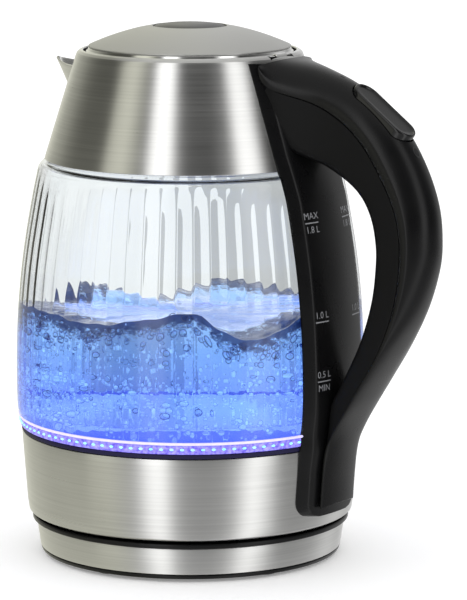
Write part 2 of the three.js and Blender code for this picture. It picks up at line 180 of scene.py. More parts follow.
WARM_SIDE, WARM_BLUE = 0.38, 0.86  # a warm wall stands to the left of the set
TENT_STRENGTH = 2.0

# Brightness round the tent, against degrees to the right of the camera. Steel above and below eye
# level sees the same strips, but the lower half also sees the pale table.
HIGH_TENT = [
    (-180, 0.95), (-143, 0.44), (-130, 0.32), (-118, 0.17), (-106, 0.08), (-84, 0.08),
    (-77, 0.10), (-70, 0.82), (-57, 0.90), (-45, 0.30), (-39, 0.22), (-36, 0.6), (-32, 2.0), (-18, 2.0),
    (-14, 0.75), (-10, 0.14), (-4, 0.02), (20, 0.01), (25, 0.10), (31, 0.05), (37, 0.5), (42, 1.7),
    (55, 1.8), (60, 0.9), (65, 0.06), (84, 0.10), (104, 0.2), (126, 0.7), (146, 0.4), (180, 0.95),
]
LOW_TENT = [
    (-180, 1.0), (-160, 0.80), (-143, 0.68), (-115, 0.62), (-84, 0.64), (-70, 0.50), (-60, 0.56),
    (-40, 0.64), (-34, 0.76), (-27, 1.42), (-19, 1.34), (-12, 0.70), (-5, 0.53), (10, 0.49), (24, 0.53),
    (32, 0.74), (38, 1.44), (46, 1.58), (53, 1.06), (61, 0.52), (80, 0.44), (104, 0.5), (126, 0.85),
    (146, 0.6), (180, 1.0),
]


def tent_bands(tree, stops, warmth=WARM_BLUE):
    """The tent's brightness, which depends only on the direction round the kettle."""
    place = add(tree, "TexCoord").outputs["Object"]
    facing = add(tree, "Mapping", {"Vector": place, "Rotation": (0, 0, math.radians(90) - HANDLE_TURN)})
    around = add(tree, "TexGradient", {"Vector": facing.outputs[0]}, gradient_type="RADIAL").outputs["Fac"]
    greys = [(degrees / 360 + 0.5, bright / TENT_STRENGTH) for degrees, bright in stops]
    return ramp(tree, around, [
        (at, (grey, grey, grey * (warmth if at < WARM_SIDE else 1), 1)) for at, grey in greys])


def glowing(tree, shown):
    """Ends a material that only gives off light of this colour."""
    glow = add(tree, "Emission", {"Color": shown, "Strength": TENT_STRENGTH})
    add(tree, "OutputMaterial", {"Surface": glow.outputs[0]})


tent_cloth, tree = material("tent_cloth")
height = add(tree, "SeparateXYZ", {0: add(tree, "TexCoord").outputs["Object"]}).outputs["Z"]
above = add(tree, "MapRange", {0: height, 1: -1.7, 2: 0.3}).outputs[0]
walls = blended(tree, above, tent_bands(tree, LOW_TENT), tent_bands(tree, HIGH_TENT))
roof = add(tree, "MapRange", {0: height, 1: 4.2, 2: 5.3}).outputs[0]
glowing(tree, blended(tree, roof, walls, (0.33, 0.33, 0.325, 1)))
steel_tent = sphere("steel_tent", 6)
steel_tent.data.materials.append(tent_cloth)
only_seen_by(steel_tent, glossy=True)
print("steel tent:", len(HIGH_TENT), "stops round its upper half and", len(LOW_TENT), "round its lower")

# %% [markdown]
# ## The glass's tent, the floor and the sky
# Glass has a tent of its own, white with narrow grey stripes, because the stripes are what the flutes
# bend into streaks. The floor is a large sheet of matt paper, lifted to white by a little light of its
# own. Only the camera, soft light and shadows meet it, so the steel mirrors its tent and not the floor.

# %% Glass tent, floor and sky
STRIPE_COUNT = 10
STRIPE = ((0, 1.06), (15, 1.06), (20, 0.60))  # degrees from where it starts, brightness

glass_cloth, tree = material("glass_tent_cloth")
glowing(tree, tent_bands(tree, [
    (-180 + 360 / STRIPE_COUNT * i + shift, bright)
    for i in range(STRIPE_COUNT) for shift, bright in STRIPE], 1.0))
glass_tent = sphere("glass_tent", 7)
glass_tent.data.materials.append(glass_cloth)
only_seen_by(glass_tent, transmission=True)

bpy.ops.mesh.primitive_plane_add(size=60)
floor = bpy.context.object
floor.name = "floor"
paper, tree = material("white_backdrop_paper")
shade(tree, {"Base Color": colour("#f4f4f4"), "Roughness": 0.9, "Specular IOR Level": 0.0,
             "Emission Color": colour("#ffffff"), "Emission Strength": 0.22})
floor.data.materials.append(paper)
only_seen_by(floor, camera=True, diffuse=True, shadow=True)

world = bpy.data.worlds.new("studio")
world.use_nodes = True
sky = world.node_tree.nodes["Background"].inputs
sky["Color"].default_value = (1, 1, 1, 1)
sky["Strength"].default_value = 1.12
scene.world = world
scene.view_settings.view_transform = "Standard"
print("studio: floor, two tents and a white sky")

# %% [markdown]
# ## Sections of the frame's pieces
# Most of a kettle is round: spun steel, moulded rings, seals and the glass itself. The frame's
# pieces have flat facets, so each one that shows is turned again with a fine step. Its section is
# read from the frame's own piece, where a half plane through the axis meets it, so nothing is
# measured twice. Real edges are never perfectly sharp, and a bright line on a rounded edge is what
# tells the eye that a part was made, so every corner of the section gets a small round.

# %% Sections
WELD, ON_PLANE = 0.002, 0.01  # mm: points this close are one point, or lie on the half plane
CORNER_TURN = math.radians(20)


def section(name, degrees=0.0, centre=(0, 0)):
    """The outline of a turned node in the half plane at that angle, as ordered [radius, height] in mm."""
    mesh = bmesh.new()
    mesh.from_mesh(nodes[name].data)
    mesh.transform(Matrix.Diagonal((1 / MM, 1 / MM, 1 / MM, 1)))
    to_centre = Matrix.Translation((-centre[0], -centre[1], 0))
    mesh.transform(Matrix.Rotation(-math.radians(degrees), 4, "Z") @ to_centre)
    bmesh.ops.remove_doubles(mesh, verts=mesh.verts, dist=WELD)
    on = [v for v in mesh.verts if abs(v.co.y) < ON_PLANE and v.co.x > -ON_PLANE]
    near = {v: [e.other_vert(v) for e in v.link_edges if e.other_vert(v) in on] for v in on}
    start = min(on, key=lambda v: (len(near[v]), v.co.z))
    line, seen = [start], {start}
    while True:
        ways = [v for v in near[line[-1]] if v not in seen]
        if not ways:
            break
        line.append(ways[0])
        seen.add(ways[0])
    points = [(v.co.x, v.co.z) for v in line]
    mesh.free()
    return points


def rounded(points, radius, closed=True, steps=4):
    """The outline with each corner that turns more than CORNER_TURN replaced by a small curve."""
    made = []
    count = len(points)
    for i, p in enumerate(points):
        here = Vector(p)
        back, ahead = Vector(points[i - 1]) - here, Vector(points[(i + 1) % count]) - here
        turn = math.pi - back.angle(ahead, math.pi)
        open_end = not closed and i in (0, count - 1)
        if open_end or here.x < ON_PLANE or turn < CORNER_TURN:
            made.append(tuple(here))
            continue
        reach = min(radius * math.tan(turn / 2), 0.45 * back.length, 0.45 * ahead.length)
        a, b = here + back.normalized() * reach, here + ahead.normalized() * reach
        for k in range(steps + 1):
            t = k / steps
            made.append(tuple(a * (1 - t) ** 2 + here * 2 * t * (1 - t) + b * t * t))
    return made


print("glass section:", [(round(r, 1), round(z, 1)) for r, z in section("glass_jug")][:4], "...")

# %% [markdown]
# ## Pieces from points
# A piece is a mesh whose faces point outwards, made from points in millimetres. Most are grids: rows
# of points that close on themselves. A turned piece is its outline, spun round a vertical line, and
# a tube runs through a row of rings. Each finished piece is put on the body that it moves with, and
# the frame's nodes that it stands for are hidden.

# %% Turning and finishing
SMOOTH_BELOW = 38  # degrees: an edge that turns more than this stays sharp


def smoothed(thing, below=SMOOTH_BELOW):
    """Shades a piece smooth, but for the edges that turn more than this many degrees."""
    thing.data.shade_smooth()
    thing.data.set_sharp_from_angle(angle=math.radians(below))
    return thing


def piece(name, verts, faces, smooth=True):
    """A mesh object from points in millimetres, its faces turned outwards."""
    mesh = bmesh.new()
    made = [mesh.verts.new(Vector(v) * MM) for v in verts]
    for face in faces:
        mesh.faces.new([made[i] for i in face])
    bmesh.ops.remove_doubles(mesh, verts=mesh.verts, dist=1e-7)
    bmesh.ops.recalc_face_normals(mesh, faces=mesh.faces)
    if mesh.calc_volume(signed=True) < 0:
        bmesh.ops.reverse_faces(mesh, faces=mesh.faces)
    thing = bpy.data.objects.new(name, bpy.data.meshes.new(name))
    mesh.to_mesh(thing.data)
    mesh.free()
    scene.collection.objects.link(thing)
    return smoothed(thing) if smooth else thing


def grid_faces(rows, columns, wrap_rows, wrap_columns):
    """The four-sided faces of a grid of points, which may close on itself either way."""
    return [
        [i * columns + j, i * columns + (j + 1) % columns, (i + 1) % rows * columns + (j + 1) % columns,
         (i + 1) % rows * columns + j]
        for i in range(rows if wrap_rows else rows - 1)
        for j in range(columns if wrap_columns else columns - 1)
    ]


def tube(name, rings):
    """A piece through a row of rings of as many points each, with one face over either end."""
    sides = len(rings[0])
    verts = [point for ring in rings for point in ring]
    ends = [list(range(sides)), list(range(len(verts) - sides, len(verts)))]
    return piece(name, verts, grid_faces(len(rings), sides, False, True) + ends)


def turned(name, outline, closed=True, sides=160, centre=(0, 0)):
    """Spins an outline round a vertical line. An open outline starts and ends on that line."""
    count = len(outline)
    verts = [
        (centre[0] + r * math.cos(a), centre[1] + r * math.sin(a), z)
        for a in (2 * math.pi * k / sides for k in range(sides)) for r, z in outline
    ]
    return piece(name, verts, grid_faces(sides, count, True, closed))


def refined(node, radius, degrees=0.0, sides=160, centre=(0, 0)):
    """A finely turned copy of a node, with rounded corners."""
    outline = section(node, degrees, centre)
    closed = min(outline[0][0], outline[-1][0]) >= ON_PLANE
    return turned(node + "_fine", rounded(outline, radius, closed), closed, sides, centre)


def finish_piece(thing, body, look, slot, *stands_for):
    """Gives a piece its material and its body, and hides the nodes that it stands for. The slot is not used.
    """
    thing.data.materials.clear()
    thing.data.materials.append(look)
    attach(thing, body)
    if stands_for:
        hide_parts(*stands_for)
    return thing


print("turning helpers ready: piece, tube, turned, refined, finish_piece")

# %% [markdown]
# ## Stainless steel in three finishes
# The band and collar are 304 stainless, brushed round and round with a belt. Fine scratches run
# level, so a reflection stays sharp sideways and is drawn out up and down: that is anisotropy, with
# its long direction across the scratches. The base's band is the plainer 430 grade, brushed a little
# rougher, and the heating plate is tinted by the blue light under it. The lid is blasted to a satin
# that shows no direction, and its rim is polished. The scratches are about 0.2 mm apart on real
# steel. Here they are 0.8 mm, since anything finer would vanish at the size that this is rendered.

# %% Steel materials
BRUSH_LINES = 1 / (0.8 * MM)


def brushed_stainless(name, tint, roughness=0.3):
    """Brushed steel between two tints: level scratches, and highlights drawn out up and down."""
    made, tree = material(name)
    lines = object_noise(tree, 1.0, 5.0, (9, 9, BRUSH_LINES))
    smear = object_noise(tree, 26.0, 2.0)
    tone = blended(tree, spread(tree, lines, 0.0, 1.0), tint[0], tint[1])
    rough = add(tree, "Math", {0: spread(tree, lines, roughness - 0.02, roughness + 0.02),
                               1: spread(tree, smear, -0.02, 0.02)}, operation="ADD").outputs[0]
    shade(tree, {
        "Base Color": tone, "Metallic": 1.0, "Roughness": rough, "Anisotropic": 0.9,
        "Anisotropic Rotation": 0.25, "Normal": bumped(tree, lines, 0.012, 0.15),
        "Tangent": add(tree, "Tangent", direction_type="UV_MAP", uv_map="around").outputs[0],
    })
    return made


def blasted_stainless():
    """Bead-blasted steel: a soft, even satin with a fine grit."""
    made, tree = material("bead_blasted_stainless_steel")
    grit = object_noise(tree, 1 / (0.7 * MM), 2.0)
    cloudy = object_noise(tree, 30.0, 3.0)
    shade(tree, {
        "Base Color": blended(tree, cloudy, "#c6c6c4", "#d6d6d3"), "Metallic": 1.0,
        "Roughness": spread(tree, cloudy, 0.44, 0.52), "Normal": bumped(tree, grit, 0.02, 0.3),
    })
    return made


def polished_stainless():
    """Polished steel: a near mirror with a faint haze."""
    made, tree = material("polished_stainless_steel")
    haze = object_noise(tree, 60.0, 3.0)
    shade(tree, {"Base Color": blended(tree, haze, "#dcdcda", "#e8e8e6"), "Metallic": 1.0,
                 "Roughness": spread(tree, haze, 0.07, 0.14)})
    return made


BRUSHED = brushed_stainless("brushed_304_stainless", ("#d0d0ce", "#dededc"))
BASE_STEEL = brushed_stainless("brushed_430_stainless", ("#d4d4d2", "#e2e2e0"), 0.34)
PLATE_STEEL = brushed_stainless("heating_plate_stainless", ("#9fb6ea", "#bcd0f8"), 0.34)
BLASTED = blasted_stainless()
POLISHED = polished_stainless()
print("steels:", *(look.name for look in (BRUSHED, BASE_STEEL, PLATE_STEEL, BLASTED, POLISHED)))

# %% [markdown]
# ## Plastics, rubber and the small metals
# The black shells are moulded polypropylene and ABS. A mould is spark-eroded to a fine grain, which
# spreads the highlight, and the outer handle shell is a little glossier because hands polish it. Real
# grain is about 0.1 mm. It is 0.5 mm here, since finer grain wouldn't show. Rubber is darker and
# rougher. Brass, nylon, the circuit board and the element's sheath hide inside.

# %% Moulded and small-part materials
def moulded(name, dark, light, roughness, gloss=0.3, grain_mm=0.5, grain_depth=0.02):
    """A moulded plastic or rubber: even in colour, with a fine grain that spreads the highlight."""
    made, tree = material(name)
    cloudy = object_noise(tree, 45.0, 3.0)
    grain = object_noise(tree, 1 / (grain_mm * MM), 1.0)
    shade(tree, {
        "Base Color": blended(tree, cloudy, dark, light), "IOR": 1.49, "Specular IOR Level": gloss,
        "Roughness": spread(tree, cloudy, roughness - 0.04, roughness + 0.05),
        "Normal": bumped(tree, grain, grain_depth, 0.35),
    })
    return made


def plain_metal(name, dark, light, roughness):
    """A rolled metal with cloudy stains, for the parts inside."""
    made, tree = material(name)
    stain = object_noise(tree, 90.0, 4.0)
    shade(tree, {"Base Color": blended(tree, stain, dark, light), "Metallic": 1.0,
                 "Roughness": spread(tree, stain, roughness - 0.05, roughness + 0.08)})
    return made


SATIN_BLACK = moulded("satin_black_abs", "#0a0a0b", "#0e0e0f", 0.27, 0.26)
STRIP_BLACK = moulded("black_polypropylene", "#0b0b0c", "#101011", 0.28, 0.28)
MATT_BLACK = moulded("spark_eroded_black_polypropylene", "#0a0a0b", "#0f0f10", 0.5, 0.16, 0.5, 0.04)
BUTTON_GREY = moulded("dark_grey_abs", "#242425", "#2c2c2d", 0.34)
ROCKER_BLACK = moulded("polished_black_abs", "#0b0b0c", "#101011", 0.17, 0.5)
RUBBER = moulded("black_epdm_rubber", "#101012", "#171719", 0.75, 0.2, 0.7, 0.05)
SEAL_BLUE = moulded("dark_silicone_rubber", "#120e30", "#1a1446", 0.5)
NYLON = moulded("white_glass_filled_nylon", "#dcd8cf", "#e8e5dd", 0.55)
BOARD = moulded("green_fr4_circuit_board", "#17553a", "#1f6b48", 0.45)
BRASS = plain_metal("rolled_brass", "#c29a4c", "#dcb765", 0.26)
SHEATH = plain_metal("element_sheath_aluminium", "#8a8681", "#a09c96", 0.5)
PRINT, tree = material("screen_printed_ink")
shade(tree, {"Base Color": blended(tree, object_noise(tree, 900.0, 2.0), "#7c7d81", "#98999d"),
             "Roughness": 0.55})
print("plastics, rubbers and metals ready")

# %% [markdown]
# ## The power base
# The base is a moulded dish with a steel band pressed round it. The dish, the band and the top are
# all turned from the frame's own sections. The mains lead's bush stands proud of the band, and the
# band's section is read away from it. Brushing needs a direction, so each brushed piece gets a UV map
# whose first axis runs round it. Small parts that are fine as the frame has them are only repainted.

# %% Base
def brush_direction(thing):
    """A UV map whose first axis runs round the vertical line, for the direction of the brushing."""
    layer = thing.data.uv_layers.new(name="around")
    points = np.empty(len(thing.data.vertices) * 3)
    thing.data.vertices.foreach_get("co", points)
    points = points.reshape(-1, 3)
    corner = np.empty(len(thing.data.loops), int)
    thing.data.loops.foreach_get("vertex_index", corner)
    angle = np.arctan2(points[:, 1], points[:, 0])[corner]
    for face in thing.data.polygons:
        run = slice(face.loop_start, face.loop_start + face.loop_total)
        if np.ptp(angle[run]) > math.pi:
            angle[run] = np.where(angle[run] < 0, angle[run] + 2 * math.pi, angle[run])
    place = np.stack([angle / (2 * math.pi), points[corner, 2] * 4], axis=1)
    layer.data.foreach_set("uv", place.ravel())
    return thing


def refine(node, body, look, slot, radius, degrees=0.0, sides=160, centre=(0, 0)):
    """Turns a node again with rounded corners, and finishes it in the node's place."""
    fine = refined(node, radius, degrees, sides, centre)
    if slot == "brushed_steel":
        brush_direction(fine)
    return finish_piece(fine, body, look, slot, node)


def repaint(look, *names):
    """Gives a material to nodes that are shown as the frame has them."""
    for name in names:
        nodes[name].data.materials[0] = look


bottom = refine("base_bottom_cover", "power_base", SATIN_BLACK, "black_plastic", 0.5)
band = refine("base_steel_band", "power_base", BASE_STEEL, "brushed_steel", 0.25, 270)
refine("base_top_cover", "power_base", SATIN_BLACK, "black_plastic", 0.6)
refine("base_connector_post", "power_base", SATIN_BLACK, "black_plastic", 0.5, sides=96)
for name in ("contact_ring_outer", "contact_ring_inner", "earth_contact_pin"):
    refine(name, "power_base", BRASS, "brass", 0.3, sides=64)
for i in range(1, 6):
    low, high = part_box(f"base_foot_{i}")
    middle = ((low + high) / 2 / MM)[:2]
    refine(f"base_foot_{i}", "power_base", RUBBER, "rubber", 0.4, sides=40, centre=middle)
repaint(RUBBER, "cord_outlet_bush")
repaint(POLISHED, *(f"base_screw_{i}" for i in (1, 2, 3)))
print("base:", len(bottom.data.polygons), "faces in the dish,", len(band.data.polygons), "in the band")

# %% [markdown]
# ## The kettle's steel band, seals and underside
# The kettle's own band leans out slightly towards the glass. Above it sits a dark silicone ring that
# catches the light's violet, then the clear ring that carries the light to the eye.

# %% Lower jug
WIDE_SIDES = 224  # a wide ring needs more sides than a small one to look round

lower = refine("lower_steel_band", "jug", BRUSHED, "brushed_steel", 0.9, 270, WIDE_SIDES)
refine("underside_cover", "jug", SATIN_BLACK, "black_plastic", 0.5)
refine("seal_ring_lower", "jug", SEAL_BLUE, "silicone", 0.3, 0, WIDE_SIDES)
refine("coupler_socket", "coupler", MATT_BLACK, "matt_black_plastic", 0.5, sides=96)
refine("heating_plate", "jug", PLATE_STEEL, "brushed_steel", 0.5, 0, WIDE_SIDES)
repaint(NYLON, "control_body")
repaint(BRASS, "bimetal_disc")
repaint(BOARD, "led_board")
repaint(SHEATH, "heating_element")
repaint(SEAL_BLUE, "seal_ring_upper")
repaint(POLISHED, *(f"underside_screw_{i}" for i in (1, 2, 3)))
print("lower jug:", len(lower.data.polygons), "faces in the band")

# %% [markdown]
# ## The lit ring
# Under the glass a clear acrylic ring is fed by a circle of blue diodes. The ring glows violet all
# round, and each diode shows as a bright cyan point through it. The points repeat round a circle, so
# Geometry Nodes place them: a circle of points, one small lens on each, made real at the end.

# %% Geometry Nodes helpers
def grow_tree(name, sizes):
    """A new Geometry Nodes tree with a geometry input and output and these named number inputs."""
    tree = bpy.data.node_groups.new(name, "GeometryNodeTree")
    tree.interface.new_socket("Geometry", in_out="INPUT", socket_type="NodeSocketGeometry")
    for size in sizes:
        tree.interface.new_socket(size, in_out="INPUT", socket_type="NodeSocketFloat")
    tree.interface.new_socket("Geometry", in_out="OUTPUT", socket_type="NodeSocketGeometry")
    return tree, add(tree, "NodeGroupInput").outputs


def end_tree(tree, geometry, look):
    """Makes the instances real, gives them their material and ends the tree."""
    real = add(tree, "GeometryNodeRealizeInstances", {"Geometry": geometry})
    painted = add(tree, "GeometryNodeSetMaterial", {"Geometry": real.outputs[0]})
    painted.inputs["Material"].default_value = look
    add(tree, "NodeGroupOutput", {"Geometry": painted.outputs[0]})


def plain_mesh(thing):
    """What a piece's modifiers make of it, as a plain mesh."""
    depsgraph = bpy.context.evaluated_depsgraph_get()
    return bpy.data.meshes.new_from_object(thing.evaluated_get(depsgraph))


def grown(name, tree, sizes, thing=None):
    """Runs a tree on a piece, or on an empty one, with sizes in metres, and keeps the plain mesh."""
    if thing is None:
        thing = bpy.data.objects.new(name, bpy.data.meshes.new(name))
        scene.collection.objects.link(thing)
    grow = thing.modifiers.new("grow", "NODES")
    grow.node_group = tree
    for socket in tree.interface.items_tree:
        if socket.in_out == "INPUT" and socket.name in sizes:
            grow[socket.identifier] = float(sizes[socket.name])
    thing.data = plain_mesh(thing)
    thing.modifiers.clear()
    thing.data.shade_smooth()
    print(name, "grew to", len(thing.data.polygons), "faces")
    return thing


print("three Geometry Nodes helpers ready: grow_tree, end_tree, grown")

# %% [markdown]
# ## The ring's three looks
# The acrylic ring is lit from its edge: it glows violet, a little unevenly, and its moulded pips
# sparkle. A diode is a small lens with a cyan glow. The glass stands on a frosted bead, which catches
# the same violet light.

# %% Light ring and its diodes
def lit_acrylic():
    """Clear acrylic lit from its edge: an uneven violet glow with small sparkles."""
    made, tree = material("edge_lit_acrylic")
    sparkle = object_noise(tree, 1 / (1.6 * MM), 2.0)
    deep = object_noise(tree, 1 / (9 * MM), 1.0)
    glow = blended(tree, spread(tree, deep, 0.0, 1.0), "#5a3fd6", "#8f86f4")
    shade(tree, {
        "Base Color": blended(tree, spread(tree, sparkle, 0.0, 1.0), "#4b3cb4", "#a9a4ff"),
        "Roughness": 0.22, "Emission Color": glow, "Emission Strength": 0.42,
        "Normal": bumped(tree, sparkle, 0.25, 0.6),
    })
    return made


def lit_diode():
    """A diode's lens: a cyan glow, brighter in places."""
    made, tree = material("blue_light_diode")
    core = object_noise(tree, 1 / (4 * MM), 1.0)
    glow = blended(tree, spread(tree, core, 0.0, 1.0), "#2fa4ff", "#8ff4ff")
    shade(tree, {"Base Color": colour("#9fe8ff"), "Roughness": 0.3, "Emission Color": glow,
                 "Emission Strength": 1.5})
    return made


def lilac_bead():
    """Frosted glass that holds a little of the ring's violet light."""
    made, tree = material("frosted_glass_foot")
    shade(tree, {"Base Color": blended(tree, object_noise(tree, 400.0), "#c9c2f2", "#efeaff"),
                 "Roughness": 0.25, "Emission Color": colour("#b9aef6"), "Emission Strength": 0.35})
    return made


ring_low, ring_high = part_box("light_ring")
ring_radius = ring_high.x / MM
refine("light_ring", "jug", lit_acrylic(), "light_guide", 0.7, 0, WIDE_SIDES)

DIODE_SPACING, DIODE_WIDTH = 4.7 * MM, 1.0 * MM
tree, given = grow_tree("diode_circle", ["Radius", "Height", "Spacing", "Width"])
around = add(tree, "ShaderNodeMath", {0: given["Radius"], 1: 2 * math.pi}, operation="MULTIPLY")
count = add(tree, "ShaderNodeMath", {0: around.outputs[0], 1: given["Spacing"]}, operation="DIVIDE")
circle = add(tree, "GeometryNodeMeshCircle", {"Vertices": count.outputs[0], "Radius": given["Radius"]})
lens = add(tree, "GeometryNodeMeshUVSphere", {"Segments": 10, "Rings": 6, "Radius": given["Width"]})
flat = add(tree, "GeometryNodeTransform", {"Geometry": lens.outputs[0], "Scale": (1.0, 1.0, 0.55)})
placed = add(tree, "GeometryNodeInstanceOnPoints", {
    "Points": circle.outputs[0], "Instance": flat.outputs[0]})
lift = add(tree, "ShaderNodeCombineXYZ", {"Z": given["Height"]})
lifted = add(tree, "GeometryNodeTransform", {"Geometry": placed.outputs[0], "Translation": lift.outputs[0]})
DIODE = lit_diode()
end_tree(tree, lifted.outputs[0], DIODE)
diodes = grown("light_diodes", tree, {
    "Radius": (ring_radius - 0.45) * MM, "Height": (ring_low.z + ring_high.z) / 2 + 0.2 * MM,
    "Spacing": DIODE_SPACING, "Width": DIODE_WIDTH})
finish_piece(diodes, "jug", DIODE, "light_guide")

glass_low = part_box("glass_jug")[0].z / MM
bead_inner, bead_low, bead_high = ring_radius - 1.6, glass_low - 0.2, glass_low + 1.1
bead = turned("glass_foot_bead", rounded([
    (bead_inner, bead_low), (ring_radius + 0.45, bead_low), (ring_radius + 0.75, glass_low + 0.45),
    (ring_radius + 0.5, bead_high), (bead_inner, bead_high)], 0.3), True, WIDE_SIDES)
finish_piece(bead, "jug", lilac_bead(), "light_guide")

# %% [markdown]
# ## The fluted glass
# The jug is borosilicate glass, smooth outside and fluted inside: 60 shallow ribs run from the foot
# to the shoulder. Each rib is a weak lens, so the far side breaks into streaks. The plain wall is
# turned first, with its section run through a smooth curve. Then Geometry Nodes press the inner
# wall inwards between the cusps, by a rule that depends only on the angle. An attribute marks how
# far each point is part of the inner wall, so the outside stays smooth.

# %% Glass
def through(points, steps):
    """A smooth line through the points, as a Catmull-Rom curve with this many steps in each gap."""
    line = [Vector(p) for p in points]
    ends = [line[0] * 2 - line[1], *line, line[-1] * 2 - line[-2]]
    made = []
    for a, b, c, d in zip(ends, ends[1:], ends[2:], ends[3:]):
        for t in (k / steps for k in range(steps)):
            made.append((2 * b + (c - a) * t + (2 * a - 5 * b + 4 * c - d) * t * t
                         + (3 * b - a - 3 * c + d) * t**3) / 2)
    return [tuple(p) for p in made] + [tuple(line[-1])]


def borosilicate():
    """Clear glass with slow ripples, as a blown wall has."""
    made, tree = material("borosilicate_glass")
    ripple = object_noise(tree, 55.0, 2.0, (1, 1, 0.35))
    shade(tree, {"Base Color": blended(tree, ripple, "#f3f7f8", "#fbfdfd"), "IOR": 1.46,
                 "Transmission Weight": 1.0, "Roughness": 0.0, "Specular IOR Level": 0.3,
                 "Normal": bumped(tree, ripple, 0.25, 0.25)})
    return made


BOROSILICATE = borosilicate()
FLUTES, FLUTE_DEPTH, FACETS = 60, 0.23, 8  # how many, how deep in mm, and faces across each
FADE_ABOVE, FADE_BELOW = 14, 3  # mm over which the flutes die out at the shoulder and at the foot
WALL_LEAST = 0.84  # the shoulder is the highest point that is still this share of the widest radius

glass_outline = section("glass_jug", 270)
widest = max(r for r, z in glass_outline)
shoulder_z = max(z for r, z in glass_outline if r > WALL_LEAST * widest)

# The section is put in order: up the outside from the foot to the lip, then down the inside.
foot_at = min(range(len(glass_outline)), key=lambda i: glass_outline[i][1] - glass_outline[i][0] * 0.001)
wall = glass_outline[foot_at:] + glass_outline[:foot_at]
if wall[1][1] < wall[-1][1]:
    wall = [wall[0], *reversed(wall[1:])]
lip_at = max(range(len(wall)), key=lambda i: wall[i][1])
outside, inside = wall[: lip_at + 1], wall[lip_at + 1 :]
smooth_out = through(outside[:-1], 5) + [outside[-1]]
smooth_in = [inside[0], *through(inside[1:], 5)]
glass = turned("glass_jug_fluted", smooth_out + smooth_in, True, FLUTES * FACETS)

mark = glass.data.attributes.new("fluted", "FLOAT", "POINT")
inner_line = sorted((z, r) for r, z in smooth_in[1:])
line_z, line_r = [z for z, r in inner_line], [r for z, r in inner_line]
share = []
for v in glass.data.vertices:
    r, z = math.hypot(v.co.x, v.co.y) / MM, v.co.z / MM
    on_inner = abs(r - np.interp(z, line_z, line_r)) < 0.25 and z < shoulder_z - 1
    below_shoulder = max(0.0, (shoulder_z - 2 - z) / FADE_ABOVE)
    above_foot = max(0.0, (z - glass_low) / FADE_BELOW)
    share.append(min(1.0, below_shoulder, above_foot) if on_inner else 0.0)
mark.data.foreach_set("value", share)
print("glass:", FLUTES, "flutes, from the foot to", round(shoulder_z, 1), "mm")

# %% [markdown]
# ## Pressing the flutes
# The tree takes the angle of each point, and the absolute value of a sine of it gives round ribs with
# sharp cusps between them. The result is scaled by the attribute and by the depth, and moves the
# point straight towards the axis.

# %% Flutes
tree, given = grow_tree("flute_rule", ["Count", "Depth"])
place = add(tree, "ShaderNodeSeparateXYZ", {0: add(tree, "GeometryNodeInputPosition").outputs[0]})
angle = add(tree, "ShaderNodeMath", {0: place.outputs["Y"], 1: place.outputs["X"]}, operation="ARCTAN2")
half_count = add(tree, "ShaderNodeMath", {0: given["Count"], 1: 0.5}, operation="MULTIPLY")
phase = add(tree, "ShaderNodeMath", {0: angle.outputs[0], 1: half_count.outputs[0]}, operation="MULTIPLY")
wave = add(tree, "ShaderNodeMath", {0: phase.outputs[0]}, operation="SINE")
rib = add(tree, "ShaderNodeMath", {0: wave.outputs[0]}, operation="ABSOLUTE")
marked = add(tree, "GeometryNodeInputNamedAttribute", {"Name": "fluted"}, data_type="FLOAT")
here = add(tree, "ShaderNodeMath", {0: rib.outputs[0], 1: marked.outputs[0]}, operation="MULTIPLY")
inwards = add(tree, "ShaderNodeMath", {0: here.outputs[0], 1: given["Depth"]}, operation="MULTIPLY")
level_spot = add(tree, "ShaderNodeCombineXYZ", {"X": place.outputs["X"], "Y": place.outputs["Y"]})
outward = add(tree, "ShaderNodeVectorMath", {0: level_spot.outputs[0]}, operation="NORMALIZE")
step = add(tree, "ShaderNodeVectorMath", {0: outward.outputs[0]}, operation="SCALE")
back = add(tree, "ShaderNodeMath", {0: inwards.outputs[0], 1: -1.0}, operation="MULTIPLY")
tree.links.new(back.outputs[0], step.inputs["Scale"])
pressed = add(tree, "GeometryNodeSetPosition", {"Geometry": given["Geometry"], "Offset": step.outputs[0]})
end_tree(tree, pressed.outputs[0], BOROSILICATE)
glass = grown("glass_jug_fluted", tree, {"Count": FLUTES, "Depth": FLUTE_DEPTH * MM}, glass)
smoothed(glass, 60)
finish_piece(glass, "jug", BOROSILICATE, "glass", "glass_jug")
